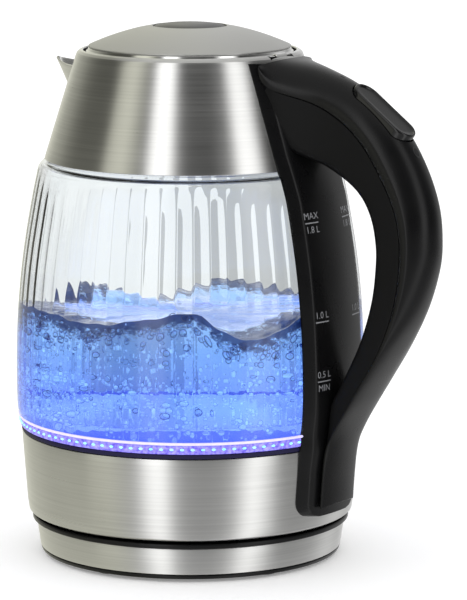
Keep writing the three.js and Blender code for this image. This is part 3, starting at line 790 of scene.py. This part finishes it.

# %% [markdown]
# ## Boiling water's look
# Water is clear, but the diodes light it from below: it is painted deep blue at the plate, pale at the
# surface, and given a painted glow. Where the surface meets the wall it piles up into a crest, painted
# dark and mottled for the shade there: an attribute on the body notes each point's depth, and the
# painted shade fades out over the first few millimetres.

# %% Water material
def lit_water():
    """Clear water with painted light: a blue tint by height and a glow for the diodes below, and a dark
    crest of painted shade where the surface meets the wall.
    """
    made, tree = material("boiling_water")
    height = add(tree, "SeparateXYZ", {0: add(tree, "TexCoord").outputs["Object"]}).outputs["Z"]
    up = add(tree, "MapRange", {0: height, 1: 66 * MM, 2: 124 * MM}).outputs[0]
    swirl = spread(tree, object_noise(tree, 55.0, 3.0, (1, 1, 0.6)), -0.10, 0.10)
    mixed = add(tree, "Math", {0: up, 1: swirl}, operation="ADD").outputs[0]
    tint = ramp(tree, mixed, [
        (0.0, colour("#6a7fe0")), (0.20, colour("#7599ea")), (0.40, colour("#7caef0")),
        (0.70, colour("#8cbff5")), (1.0, colour("#b8dafb"))])
    # Painted shade: where the surface meets the wall, the crest is painted navy and made less clear.
    depth = add(tree, "Attribute", attribute_name="depth").outputs["Fac"]
    mottle = spread(tree, object_noise(tree, 300.0, 5.0, (1, 1, 1.5)), 0.5, 5.8)
    below = add(tree, "Math", {0: depth, 1: mottle}, operation="DIVIDE").outputs[0]
    crest = add(tree, "MapRange", {0: below, 1: 0.9, 2: 1.9, 3: 0.9, 4: 0.0}).outputs[0]
    shown = blended(tree, crest, tint, "#162c66")
    # Painted glow: blue low down for the diodes below, and pale on the surface's top away from the crest.
    dim = add(tree, "MapRange", {0: up, 1: 0.0, 2: 0.75, 3: 1.0, 4: 0.25}).outputs[0]
    facing_up = add(tree, "SeparateXYZ", {0: add(tree, "NewGeometry").outputs["Normal"]}).outputs["Z"]
    top = add(tree, "MapRange", {0: facing_up, 1: 0.80, 2: 0.97}).outputs[0]
    off_crest = add(tree, "Math", {0: 1.0, 1: crest}, operation="SUBTRACT").outputs[0]
    lit_top = add(tree, "Math", {0: top, 1: off_crest}, operation="MULTIPLY").outputs[0]
    glow = blended(tree, lit_top, blended(tree, dim, "#000000", "#2450d8"), "#b4d2f4")
    shade(tree, {"Base Color": shown, "IOR": 1.33, "Roughness": 0.0, "Specular IOR Level": 0.25,
                 "Transmission Weight": add(tree, "MapRange", {0: crest, 3: 1.0, 4: 0.35}).outputs[0],
                 "Emission Color": glow, "Emission Strength": 0.30,
                 "Normal": bumped(tree, object_noise(tree, 120.0, 3.0), 0.5, 0.2)})
    return made


WATER = lit_water()
print("water:", WATER.name)

# %% [markdown]
# ## The water's body
# The body is one closed shape that fills the glass and overlaps it by a fifth of a millimetre, so that
# light passes straight from glass to water. The surface heaves: its edge runs through a few heights
# round the wall, joined by a smooth curve. It is built as a row of rings, from the middle of the plate
# out to the wall, up the wall to the edge, and in over the surface. The rings crowd together just
# under the edge, where the crest's painted shade changes fast.

# %% Water
LEVEL, SWELL = 112.0, 1.5  # mm: the still level, and how much higher the middle heaves
WATER_OVERLAP = 0.2
EDGE = [  # degrees to the right of the camera, height of the water's edge in mm
    (-180, 112), (-162, 105.5), (-149, 113), (-137, 119), (-122, 112), (-105, 115), (-90, 118.7),
    (-60, 120.8), (-36, 118.6), (-20, 121.2), (-6, 124.6), (3, 125), (10, 117.5), (18, 113.4), (27, 113.8),
    (36, 118.7), (45, 122.6), (60, 124), (82, 121), (113, 120), (130, 114), (149, 114.7), (167, 117),
    (180, 112),
]
CAMERA_TURN = -90 + math.degrees(HANDLE_TURN)
edge_turns, edge_heights = zip(*through(EDGE, 8))


def edge_height(angle):
    """The height in mm of the water's edge, against the angle from +X in radians."""
    turn = (math.degrees(angle) - CAMERA_TURN + 180) % 360 - 180
    ripples = 0.35 * math.sin(23 * angle) + 0.25 * math.sin(41 * angle + 1)
    return float(np.interp(turn, edge_turns, edge_heights)) + ripples


def inner_at(z):
    """The water's radius in mm where it meets the wall at a height."""
    return float(np.interp(z, line_z, line_r)) + WATER_OVERLAP


def surface_height(share, angle, edge):
    """The surface's height in mm at a share of the radius, in gentle rings that die at the wall."""
    ripple = 1.3 * math.sin(7 * share * 6.28 + 3 * angle) * share * (1 - share) * 4
    return LEVEL + SWELL + (edge - LEVEL - SWELL) * share**1.6 + ripple


SIDES = 320
DEPTHS = [0.0, 0.5, 1.0, 1.6, 2.4, 3.6, 5.5, 8, 11, 15, 20, 26, 33]  # mm under the edge
SHARES = (0.985, 0.96, 0.92, 0.86, 0.78, 0.68, 0.56, 0.42, 0.28, 0.14, 0.03)  # of the radius, inwards
angles = [2 * math.pi * k / SIDES for k in range(SIDES)]
edges = [edge_height(a) for a in angles]
plate_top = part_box("heating_plate")[1].z / MM
water_floor = plate_top + 0.3
rings, depths = [], []


def water_ring(heights, radii, depth):
    """One ring of the water's skin, from its heights and radii in mm, and its depth for the crest's painted
    shade.
    """
    rings.append([(r * math.cos(a), r * math.sin(a), z) for a, r, z in zip(angles, radii, heights)])
    depths.extend([depth] * SIDES)


for radius, rise in ((2.0, 0.0), (73.0, 0.0), (75.0, 1.0)):
    water_ring([water_floor + rise] * SIDES, [radius] * SIDES, 99)
for part in (0.0, 0.25, 0.5, 0.75):
    heights = [glass_low + 0.4 + part * (edge - DEPTHS[-1] - glass_low - 0.4) for edge in edges]
    water_ring(heights, map(inner_at, heights), 40)
for deep in reversed(DEPTHS):
    heights = [edge - deep for edge in edges]
    water_ring(heights, map(inner_at, heights), deep)
for share in SHARES:
    heights = [surface_height(share, a, edge) for a, edge in zip(angles, edges)]
    water_ring(heights, [inner_at(LEVEL) * share] * SIDES, 30 * min(1.0, (1 - share) / 0.55) ** 2.2)
water = tube("boiling_water", rings)

# Merging close points renumbers them, so each point's depth is looked up by its place.
points = [p for ring in rings for p in ring]
depth_at = {tuple(round(c, 2) for c in p): deep for p, deep in zip(points, depths)}
depth_mark = water.data.attributes.new("depth", "FLOAT", "POINT")
depth_mark.data.foreach_set("value", [
    depth_at.get(tuple(round(c / MM, 2) for c in v.co), 0.0) for v in water.data.vertices])
finish_piece(water, "jug", WATER, "glass")
print("the water's edge stands", round(min(edges), 1), "to", round(max(edges), 1), "mm high")

# %% [markdown]
# ## Bubbles
# Steam bubbles crowd the plate, thin out as they rise and gather again as foam under the surface.
# Geometry Nodes scatter them: random numbers with a fixed seed give each its angle, its distance from
# the axis and its height, and a small sphere is set on each. A power on the random height
# crowds them low. Seen through water a bubble is a bright bead with a dark rim, because its
# edge mirrors everything, so its colour deepens towards the rim. The low ones are lit and paler.

# %% Bubble material and scatter
CLEAR_RIM = 0.2  # how clear a bubble is at its rim, where 1 is fully
BEAD_DETAIL = 2  # subdivisions: a bubble has only 80 faces, since there are thousands


def steam_bubble(name, rim_colour, glow):
    """Steam in water: a bright bead whose rim deepens to a colour."""
    made, tree = material(name)
    rim = add(tree, "LayerWeight", {"Blend": 0.5}).outputs["Facing"]
    edge = add(tree, "MapRange", {0: rim, 1: 0.30, 2: 0.58}).outputs[0]
    clear = add(tree, "MapRange", {0: edge, 3: 1.0, 4: CLEAR_RIM}).outputs[0]
    shade(tree, {"Base Color": blended(tree, edge, "#f6fbff", rim_colour), "IOR": 1.08,
                 "Transmission Weight": clear, "Roughness": 0.02, "Emission Color": colour(rim_colour),
                 "Emission Strength": glow})
    return made


def scatter(name, look, count, seed, sizes):
    """Bubbles between two radii and two heights, crowded by a power on the height."""
    tree, given = grow_tree(name, ["Inner", "Outer", "Low", "High", "Crowding", "Smallest", "Largest"])
    points = add(tree, "GeometryNodeMeshLine", {"Count": count, "Offset": (0, 0, 0)})

    def chance(low, high, extra):
        draw = {"Seed": seed + extra, 2: low, 3: high}
        return add(tree, "FunctionNodeRandomValue", draw, data_type="FLOAT").outputs[1]

    def calculate(kind, a, b=0.0):
        return add(tree, "ShaderNodeMath", {0: a, 1: b}, operation=kind).outputs[0]

    angle = chance(0.0, 2 * math.pi, 1)
    inner_sq, outer_sq = calculate("POWER", given["Inner"], 2.0), calculate("POWER", given["Outer"], 2.0)
    radius = calculate("SQRT", chance(inner_sq, outer_sq, 2))
    crowd = calculate("POWER", chance(0.0, 1.0, 3), given["Crowding"])
    height = add(tree, "ShaderNodeMapRange", {0: crowd, 3: given["Low"], 4: given["High"]}).outputs[0]
    spot = add(tree, "ShaderNodeCombineXYZ", {
        "X": calculate("MULTIPLY", radius, calculate("COSINE", angle)),
        "Y": calculate("MULTIPLY", radius, calculate("SINE", angle)), "Z": height})
    spread_out = add(tree, "GeometryNodeSetPosition", {
        "Geometry": points.outputs[0], "Position": spot.outputs[0]})
    bubble = add(tree, "GeometryNodeMeshIcoSphere", {"Radius": 1.0, "Subdivisions": BEAD_DETAIL})
    small = calculate("POWER", chance(0.0, 1.0, 4), 2.2)
    size = add(tree, "ShaderNodeMapRange", {0: small, 3: given["Smallest"], 4: given["Largest"]})
    bubbles = add(tree, "GeometryNodeInstanceOnPoints", {
        "Points": spread_out.outputs[0], "Instance": bubble.outputs[0], "Scale": size.outputs[0]})
    end_tree(tree, bubbles.outputs[0], look)
    return grown(name, tree, sizes)


PALE_BUBBLE = steam_bubble("steam_bubble_near_the_light", "#c4dafc", 0.22)
DARK_BUBBLE = steam_bubble("steam_bubble_near_the_surface", "#2f66bc", 0.0)
wall_radius = (inner_at(90) - 1.5) * MM
low_bubbles = scatter("bubbles_on_the_plate", PALE_BUBBLE, 900, 3, {
    "Inner": 50 * MM, "Outer": wall_radius - 0.8 * MM, "Low": (plate_top + 1.5) * MM, "High": 92 * MM,
    "Crowding": 1.35, "Smallest": 0.5 * MM, "Largest": 1.6 * MM})
rising = scatter("rising_bubbles", DARK_BUBBLE, 260, 11, {
    "Inner": 45 * MM, "Outer": wall_radius - 1.5 * MM, "Low": 74 * MM, "High": 108 * MM,
    "Crowding": 0.8, "Smallest": 0.5 * MM, "Largest": 1.8 * MM})
foam = scatter("foam_under_the_surface", DARK_BUBBLE, 1300, 23, {
    "Inner": wall_radius - 9 * MM, "Outer": wall_radius, "Low": -13 * MM, "High": -1.6 * MM,
    "Crowding": 0.7, "Smallest": 0.5 * MM, "Largest": 2.0 * MM})
for v in foam.data.vertices:
    v.co.z += edge_height(math.atan2(v.co.y, v.co.x)) * MM
for thing, look in ((low_bubbles, PALE_BUBBLE), (rising, DARK_BUBBLE), (foam, DARK_BUBBLE)):
    finish_piece(thing, "jug", look, "glass")

# %% [markdown]
# ## The collar
# The collar is one spun cone of brushed steel with a rolled rim. Its section is read at the side,
# away from the spout's window and the hinge's notch, and both are then cut into the fine cone.

# %% Collar and the ring under the lid
def cut_away(thing, *cutters):
    """Cuts closed shapes out of a piece, and removes them."""
    for cutter in cutters:
        trim = thing.modifiers.new("cut", "BOOLEAN")
        trim.object, trim.operation, trim.solver = cutter, "DIFFERENCE", "EXACT"
        thing.data = plain_mesh(thing)
        thing.modifiers.clear()
        bpy.data.objects.remove(cutter)
    return smoothed(thing)


def block(name, corners):
    """A six-sided block to cut with: four (x, y, z) corners, with y once positive and once negative."""
    points = [(x, y * side, z) for x, y, z in corners for side in (1, -1)]
    faces = [(0, 2, 3, 1), (4, 5, 7, 6), (0, 4, 6, 2), (1, 3, 7, 5), (0, 1, 5, 4), (2, 6, 7, 3)]
    return piece(name, points, faces, smooth=False)


NOTCH_IN, NOTCH_OUT, NOTCH_PLAY = 47, 51.7, 0.8
WINDOW_LOW, WINDOW_HIGH, WINDOW_HALF = 203, 226.5, 15.5

collar = refined("collar_shell", 0.9, 270, 240)
hinge_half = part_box("hinge_block")[1].y / MM + NOTCH_PLAY
seat_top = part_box("lid_seat_ring")[1].z / MM
notch = block("notch", [
    (x, hinge_half, z) for x in (NOTCH_IN, NOTCH_OUT) for z in (seat_top + 0.3, 245)])
window = block("window", [
    (x, half, z) for x in (-75, -45) for half, z in ((0.2, WINDOW_LOW), (WINDOW_HALF, WINDOW_HIGH))])
brush_direction(cut_away(collar, notch, window))
finish_piece(collar, "jug", BRUSHED, "brushed_steel", "collar_shell")
repaint(SATIN_BLACK, "lid_seat_ring", "hinge_block")
repaint(POLISHED, "hinge_pin")
print("collar:", len(collar.data.polygons), "faces")

# %% [markdown]
# ## The spout
# The beak is a folded sheet: level rows run from the collar on one side, round the nose, and back to
# the collar on the other. A row is a power curve, which keeps the nose rounded and the sides nearly
# flat. The rows grow from nothing at the bottom of the ridge to the open lip at the top, where the
# side edges dip a little. A Solidify modifier gives the sheet its thickness.

# %% Spout
ROWS, COLUMNS, NOSE = 26, 41, 1.28
RIDGE_HALF, LIP_HALF, LIP_DIP = 0.4, 16.0, 1.4
spout_low, spout_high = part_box("spout")
tip_x, tip_z, root_z = spout_low.x / MM, spout_high.z / MM, spout_low.z / MM + 1.5
collar_line = sorted((z, r) for r, z in section("collar_shell", 270) if r > 50)


def collar_at(z):
    """The collar's outer radius in mm at a height."""
    return float(np.interp(z, [p[0] for p in collar_line], [p[1] for p in collar_line]))


verts = []
for i in range(ROWS):
    t = i / (ROWS - 1)
    nose_z = root_z + (tip_z - root_z) * t
    nose_x = -(collar_at(root_z) + 0.4) + (tip_x + 0.3 + collar_at(root_z) + 0.4) * t**1.06
    half = RIDGE_HALF + (LIP_HALF - RIDGE_HALF) * t**0.82
    side_z = root_z + (tip_z - 2.0 - root_z) * t
    side_x = -math.sqrt(max(1.0, (collar_at(side_z) + 0.25) ** 2 - half**2))
    for j in range(COLUMNS):
        s = 2 * j / (COLUMNS - 1) - 1
        out = 1 - abs(s) ** NOSE
        dip = -LIP_DIP * math.sin(math.pi * abs(s)) * t**4
        verts.append((side_x + (nose_x - side_x) * out, half * s, side_z + (nose_z - side_z) * out + dip))
spout = piece("spout_beak", verts, grid_faces(ROWS, COLUMNS, False, False))
sheet = spout.modifiers.new("sheet", "SOLIDIFY")
sheet.thickness, sheet.offset = 0.9 * MM, 0.0
edge = spout.modifiers.new("edge", "BEVEL")
edge.width, edge.segments = 0.25 * MM, 2
spout.data = plain_mesh(spout)
spout.modifiers.clear()
brush_direction(smoothed(spout, 50))
finish_piece(spout, "jug", BRUSHED, "brushed_steel", "spout")
repaint(SATIN_BLACK, "filter_frame")
repaint(POLISHED, "filter_mesh")
print("spout:", len(spout.data.polygons), "faces")

# %% [markdown]
# ## The lid
# The lid is a satin dome over a polished ring, with a dark push button in the middle. The frame's
# dome has a few straight steps from its edge to its hole, so its top is run through a smooth curve
# before it is turned.

# %% Lid
DOME_LOW, DOME_WALL = 238.9, 1.1  # mm: the dome's top face lies above this, and it is this thick

over = {}
for r, z in section("lid_dome", 270):
    over[round(r, 1)] = max(z, over.get(round(r, 1), z))
upper = through([(r, z) for r, z in sorted(over.items(), reverse=True) if z > DOME_LOW], 5)
edge_r, edge_z = upper[0]
under = [(r, z - DOME_WALL) for r, z in reversed(upper) if r < edge_r - 1.4]
dome_outline = [*upper, *under, (edge_r - 1.2, edge_z - 0.7), (edge_r, edge_z - 0.7)]
dome = turned("lid_dome_fine", rounded(dome_outline, 0.35), True, WIDE_SIDES)
finish_piece(dome, "lid", BLASTED, "satin_steel", "lid_dome")
refine("lid_rim_ring", "lid", POLISHED, "polished_steel", 0.45, 270, WIDE_SIDES)
button = refine("lid_button", "open_button", BUTTON_GREY, "button_plastic", 0.8, 0, 128)
repaint(SATIN_BLACK, "lid_inner_cover", "latch_bolt")
repaint(SEAL_BLUE, "lid_seal")
repaint(POLISHED, "lid_hinge_arm", "button_spring")
print("lid: dome", len(dome.data.polygons), "faces, button", len(button.data.polygons))

# %% [markdown]
# ## The handle strip
# A black strip runs up the side of the jug behind the handle. Each of its rows follows the jug's round
# wall: the outer face is a circle a few millimetres larger than the jug, its two long edges are
# bevelled, and its lower corners are rounded by narrowing the last rows.

# %% Strip
# How far the strip stands out, half its width, half its flat face's width, its lower corners' radius.
STRIP_DEPTH, STRIP_HALF, FACE_HALF, CORNER = 3.9, 22.5, 18.8, 8.0
STRIP_TOP = 234.8
EVENING = 41  # half-millimetre steps that the strip's line is evened over, to run past the joints


def outermost(outlines, heights):
    """(height, largest radius) of the outlines in mm, leaving out heights that none of them reaches."""
    found = []
    for z in heights:
        radii = []
        for outline in outlines:
            for (r0, z0), (r1, z1) in zip(outline, outline[1:] + outline[:1]):
                if min(z0, z1) <= z <= max(z0, z1) and abs(z1 - z0) > 1e-6:
                    radii.append(r0 + (r1 - r0) * (z - z0) / (z1 - z0))
        if radii:
            found.append((z, max(radii)))
    return found


body_outlines = [section(name, 270) for name in ("lower_steel_band", "glass_jug", "collar_shell")]
body_z, body_r = zip(*outermost(body_outlines, np.arange(24.0, 236.5, 0.5)))
margin = EVENING // 2
before = [body_r[0]] * margin
after = body_r[-1] + np.arange(1, margin + 1) * (body_r[-1] - body_r[-21]) / 20
even_r = np.convolve(np.concatenate([before, body_r, after]), np.ones(EVENING) / EVENING, "valid")


def body_at(z):
    """The jug's radius in mm at a height, evened past its joints."""
    return float(np.interp(z, body_z, even_r))


foot_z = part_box("handle_backbone")[0].z / MM
rows = sorted({*np.linspace(foot_z, foot_z + CORNER, 10), *np.linspace(foot_z + CORNER, STRIP_TOP, 90)})
rings = []
for z in rows:
    drop = max(0.0, foot_z + CORNER - z)
    less = CORNER - math.sqrt(max(0.0, CORNER**2 - drop**2))
    half, face = STRIP_HALF - less, FACE_HALF - less
    across = [(-half, 0.0), (-half, 0.5), (-face - 0.8, STRIP_DEPTH - 0.35), (-face, STRIP_DEPTH)]
    across += [(w, STRIP_DEPTH) for w in np.linspace(-face, face, 19)[1:-1]]
    across += [(-w, d) for w, d in reversed(across[:4])]
    back = [(w, -0.6) for w in np.linspace(half, -half, 21)]
    rings.append([(math.sqrt((body_at(z) + d) ** 2 - w**2), w, z) for w, d in across + back])
strip = smoothed(tube("handle_strip", rings), 24)
finish_piece(strip, "jug", STRIP_BLACK, "black_plastic", "handle_backbone")
print("strip:", len(strip.data.polygons), "faces")

# %% [markdown]
# ## The handle
# Two shells meet along a seam. The glossy outer shell is drawn by two curves, the seam and the back,
# and at each step along them a section spans from one to the other: full width at the seam, narrower
# towards the back, with a soft ridge. The matt inner shell spans from the gap to the seam. Each
# curve is smoothed through its points and cut into equal steps, and matching steps are joined.

# %% Handle shells
SEAM = [
    (57.0, 233.0), (57.6, 228.5), (60.5, 224.6), (66.0, 222.0), (80.3, 217.0), (94.3, 208.9),
    (104.1, 199.6), (112.0, 188.0), (119.3, 174.0), (122.8, 160.0), (122.6, 143.0), (119.5, 126.0),
    (112.5, 107.5), (102.3, 90.5), (94.5, 78.0), (87.5, 66.0), (84.0, 58.0), (82.5, 45.0), (81.6, 31.5),
]
BACK = [
    (57.5, 236.4), (72.0, 233.3), (88.0, 227.8), (102.0, 220.0), (112.5, 211.4), (120.4, 202.5),
    (128.2, 189.0), (133.6, 174.0), (135.3, 160.0), (134.3, 146.0), (127.4, 126.0), (115.6, 106.0),
    (102.4, 86.0), (93.0, 71.5), (88.0, 59.0), (85.6, 46.0), (84.6, 33.0),
]
GAP = [
    (58.5, 222.5), (62.6, 207.0), (67.0, 196.5), (74.0, 192.4), (83.0, 189.0), (98.0, 180.0),
    (105.6, 169.5), (108.9, 156.0), (108.8, 143.0), (106.6, 128.0), (100.9, 110.0), (92.7, 93.0),
    (87.2, 83.0), (85.7, 78.0), (85.3, 70.0), (84.6, 61.0),
]


def even(points, count):
    """A smooth curve through the points, cut into equal steps."""
    fine = np.array(through(points, 12))
    along = np.concatenate([[0], np.cumsum(np.hypot(*np.diff(fine, axis=0).T))])
    return [tuple(float(np.interp(s, along, fine[:, k])) for k in (0, 1))
            for s in np.linspace(0, along[-1], count)]


# At its root the handle flares by a share of its width, over this many mm out from ROOT_X, and its
# wide edges are drawn back on a circle, which takes full effect ROOT_RUN mm in from ROOT_END.
ROOT_X, FLARE, FLARE_RUN = 57.0, 0.62, 16.0
ROOT_ROUND, ROOT_END, ROOT_RUN = 60.0, 84.0, 19.0


def shell(name, near, far, widths):
    """A closed shell whose sections run from the near curve to the far one and back.

    Near the jug it flares to the strip's width, and its wide edges are drawn back round the jug.
    """
    rings = []
    span = widths + [(u, -w) for u, w in reversed(widths) if w]
    for (x0, z0), (x1, z1) in zip(near, far):
        ring = []
        for u, w in span:
            x, z = x0 + (x1 - x0) * u, z0 + (z1 - z0) * u
            high = max(0.0, min(1.0, (z - 150) / 30))
            flared = w * (1 + FLARE * high * math.exp(-((max(0.0, x - ROOT_X) / FLARE_RUN) ** 2)))
            root = high * max(0.0, min(1.0, (ROOT_END - x) / ROOT_RUN))
            ring.append((x - root * flared * flared / (2 * ROOT_ROUND), flared, z))
        rings.append(ring)
    return tube(name, rings)


STEPS = 140
OUTER_SPAN = [(0.005, 0.0), (0.005, 6.0), (0.005, 12.9), (0.02, 13.4), (0.05, 13.6), (0.18, 13.65),
              (0.29, 13.6), (0.35, 13.3), (0.48, 12.2), (0.60, 11.0), (0.67, 10.1), (0.76, 8.9), (0.84, 7.4),
              (0.91, 5.7), (0.96, 3.9), (0.99, 2.0), (1.0, 0.0)]
INNER_SPAN = [(0.0, 0.0), (0.0, 9.0), (0.015, 10.4), (0.05, 11.6), (0.11, 12.3), (0.2, 12.55), (0.5, 12.75),
              (0.8, 12.95), (0.93, 13.1), (0.975, 13.05), (0.99, 12.6), (0.99, 0.0)]
outer = shell("handle_outer_shell", even(SEAM, STEPS), even(BACK, STEPS), OUTER_SPAN)
inner_seam = [p for p in SEAM if 60 < p[0] and p[1] > 57]
inner = shell("handle_inner_shell", even(GAP, STEPS), even(inner_seam, STEPS), INNER_SPAN)
print("handle shells:", len(outer.data.polygons), "and", len(inner.data.polygons), "faces")

# %% [markdown]
# ## The power rocker
# A pill-shaped rocker sits in a pocket on the handle's shoulder. Its top is dished inside a narrow rim.
# Both the pocket and the rocker are the same pill at different sizes, set at the shoulder's slope. The
# rocker is shown in its on position, tipped two degrees, as the frame has it at rest.

# %% Rocker and its pocket
ROCKER_AT, SHOULDER_SLOPE = (104.6, 212.2), 38.9
LENGTH, WIDTH, TOP, TIP = 36.5, 14.5, 4.6, -2.0  # mm, and the tip in degrees
POCKET_PLAY = 1.1


def pill(length, width, sides=64):
    """A pill's outline: two half circles and the straights between them."""
    radius, straight = width / 2, (length - width) / 2
    turns = [2 * math.pi * k / sides for k in range(sides)]
    return [(radius * math.cos(a) + math.copysign(straight, math.cos(a)), radius * math.sin(a))
            for a in turns]


def pill_stack(name, levels, slope):
    """Pills of (length, width, height) joined in order, closed at both ends and set on the shoulder."""
    turn = math.radians(slope)
    return tube(name, [[
        (ROCKER_AT[0] + x * math.cos(turn) + z * math.sin(turn), y,
         ROCKER_AT[1] - x * math.sin(turn) + z * math.cos(turn))
        for x, y in pill(length, width)] for length, width, z in levels])


wide = (LENGTH + POCKET_PLAY, WIDTH + POCKET_PLAY)
cut_away(outer, pill_stack("pocket", [(*wide, -7.5), (*wide, 20)], SHOULDER_SLOPE))
finish_piece(outer, "jug", SATIN_BLACK, "black_plastic", "handle_outer")
finish_piece(inner, "jug", MATT_BLACK, "matt_black_plastic", "handle_inner")

# The cap's outline from its foot to the middle of its dish, as (height, how much smaller).
cap = [(-4.2, 0.0), (TOP - 1.2, 0.0), (TOP - 0.5, 0.2), (TOP - 0.1, 0.8), (TOP, 1.5), (TOP - 0.05, 2.2),
       (TOP - 0.7, 3.0), (TOP - 1.0, 4.0), (TOP - 1.05, 9.0), (TOP - 1.05, 14.0)]
levels = [(LENGTH - less, WIDTH - less, z) for z, less in cap]
rocker = smoothed(pill_stack("power_rocker_fine", levels, SHOULDER_SLOPE + TIP), 60)
finish_piece(rocker, "rocker", ROCKER_BLACK, "button_plastic", "power_rocker")
repaint(POLISHED, "rocker_pin")
repaint(NYLON, "switch_link", "trip_lever", "steam_tube")
repaint(BRASS, "steam_bimetal")
repaint(SATIN_BLACK, "switch_module")
print("rocker:", len(rocker.data.polygons), "faces")

# %% [markdown]
# ## Level marks
# The level marks are a flat print on the strip, at both of its edges: a short line at each level, the
# volume under or over it, and the greatest and least levels named. A text becomes a mesh before it is
# put in place, and each point of it is bent on to the round face of the strip, a few hundredths of a
# millimetre proud of it.

# %% Level marks
def flat_text(words, size):
    """The words as a flat mesh in mm, centred on the origin, as (vertices, faces)."""
    curve = bpy.data.curves.new(words, "FONT")
    curve.body, curve.size, curve.align_x, curve.align_y = words, size, "CENTER", "CENTER"
    curve.resolution_u = 3
    holder = bpy.data.objects.new(words, curve)
    scene.collection.objects.link(holder)
    mesh = plain_mesh(holder)
    found = [tuple(v.co) for v in mesh.vertices], [list(f.vertices) for f in mesh.polygons]
    bpy.data.objects.remove(holder)
    return found


def flat_bar(length, thick, steps=12):
    """A bar along x in steps, so that it can bend, as (vertices, faces)."""
    across = np.linspace(-length / 2, length / 2, steps + 1)
    verts = [(x, y, 0) for x in across for y in (-thick / 2, thick / 2)]
    return verts, [[2 * k, 2 * k + 2, 2 * k + 3, 2 * k + 1] for k in range(steps)]


def joined(prints, place):
    """All the flat prints as one mesh, each point put in place by a function of (x, y, spot)."""
    verts, faces = [], []
    for (points, sides), spot in prints:
        start = len(verts)
        verts += [place(x, y, spot) for x, y, *_ in points]
        faces += [[start + k for k in face] for face in sides]
    return verts, faces


PRINT_PROUD = 0.06
MARK_ASIDE, MARK_SIZE = 14.1, 4.3
MARKS = ((163.6, "MAX", "1.8 L"), (118.7, "1.0 L", ""), (91.5, "0.5 L", "MIN"))


def on_strip(x, y, spot):
    """A point of a print bent on to the strip's face, at a spot given across and up it."""
    across, height = spot
    w, z = across + x, height + y
    return math.sqrt((body_at(z) + STRIP_DEPTH + PRINT_PROUD) ** 2 - w**2), w, z


prints = []
for aside in (MARK_ASIDE, -MARK_ASIDE):
    for z, above, below in MARKS:
        prints.append((flat_bar(8.4, 0.55), (aside, z)))
        for words, rise in ((above, 3.0), (below, -3.2)):
            if words:
                prints.append((flat_text(words, MARK_SIZE), (aside, z + rise)))
finish_piece(piece("level_marks", *joined(prints, on_strip), smooth=False), "jug", PRINT, "black_plastic")
print("level marks:", len(prints), "prints on the strip")

# %% [markdown]
# ## The switch's two marks
# A plain bar above the rocker and a ring below it stand for on and off. They are bent on to the
# handle's ridge, which is read from its own curve of the back.

# %% Switch marks
RISING = 110  # the back's first points, out to where it turns under


def flat_ring(radius, thick, sides=40):
    """A flat ring round the origin, as (vertices, faces)."""
    turns = [2 * math.pi * k / sides for k in range(sides)]
    radii = (radius - thick / 2, radius + thick / 2)
    verts = [(r * math.cos(a), r * math.sin(a), 0) for a in turns for r in radii]
    count = len(verts)
    return verts, [[2 * k, 2 * k + 1, (2 * k + 3) % count, (2 * k + 2) % count] for k in range(sides)]


back_x, back_z = zip(*even(BACK, 200))


def on_back(x, y, spot):
    """The handle's back at a spot given along +X, with x along the handle and y across it."""
    here = spot + x * math.cos(math.radians(SHOULDER_SLOPE))
    ridge = float(np.interp(here, back_x[:RISING], back_z[:RISING]))
    return here, y, ridge + 0.10 - 0.012 * y * y


verts, faces = joined([(flat_bar(3.0, 0.6, 4), 84.5), (flat_ring(1.6, 0.5), 123.6)], on_back)
finish_piece(piece("switch_marks", verts, faces, smooth=False), "jug", BUTTON_GREY, "black_plastic")
print("switch marks:", len(faces), "faces")
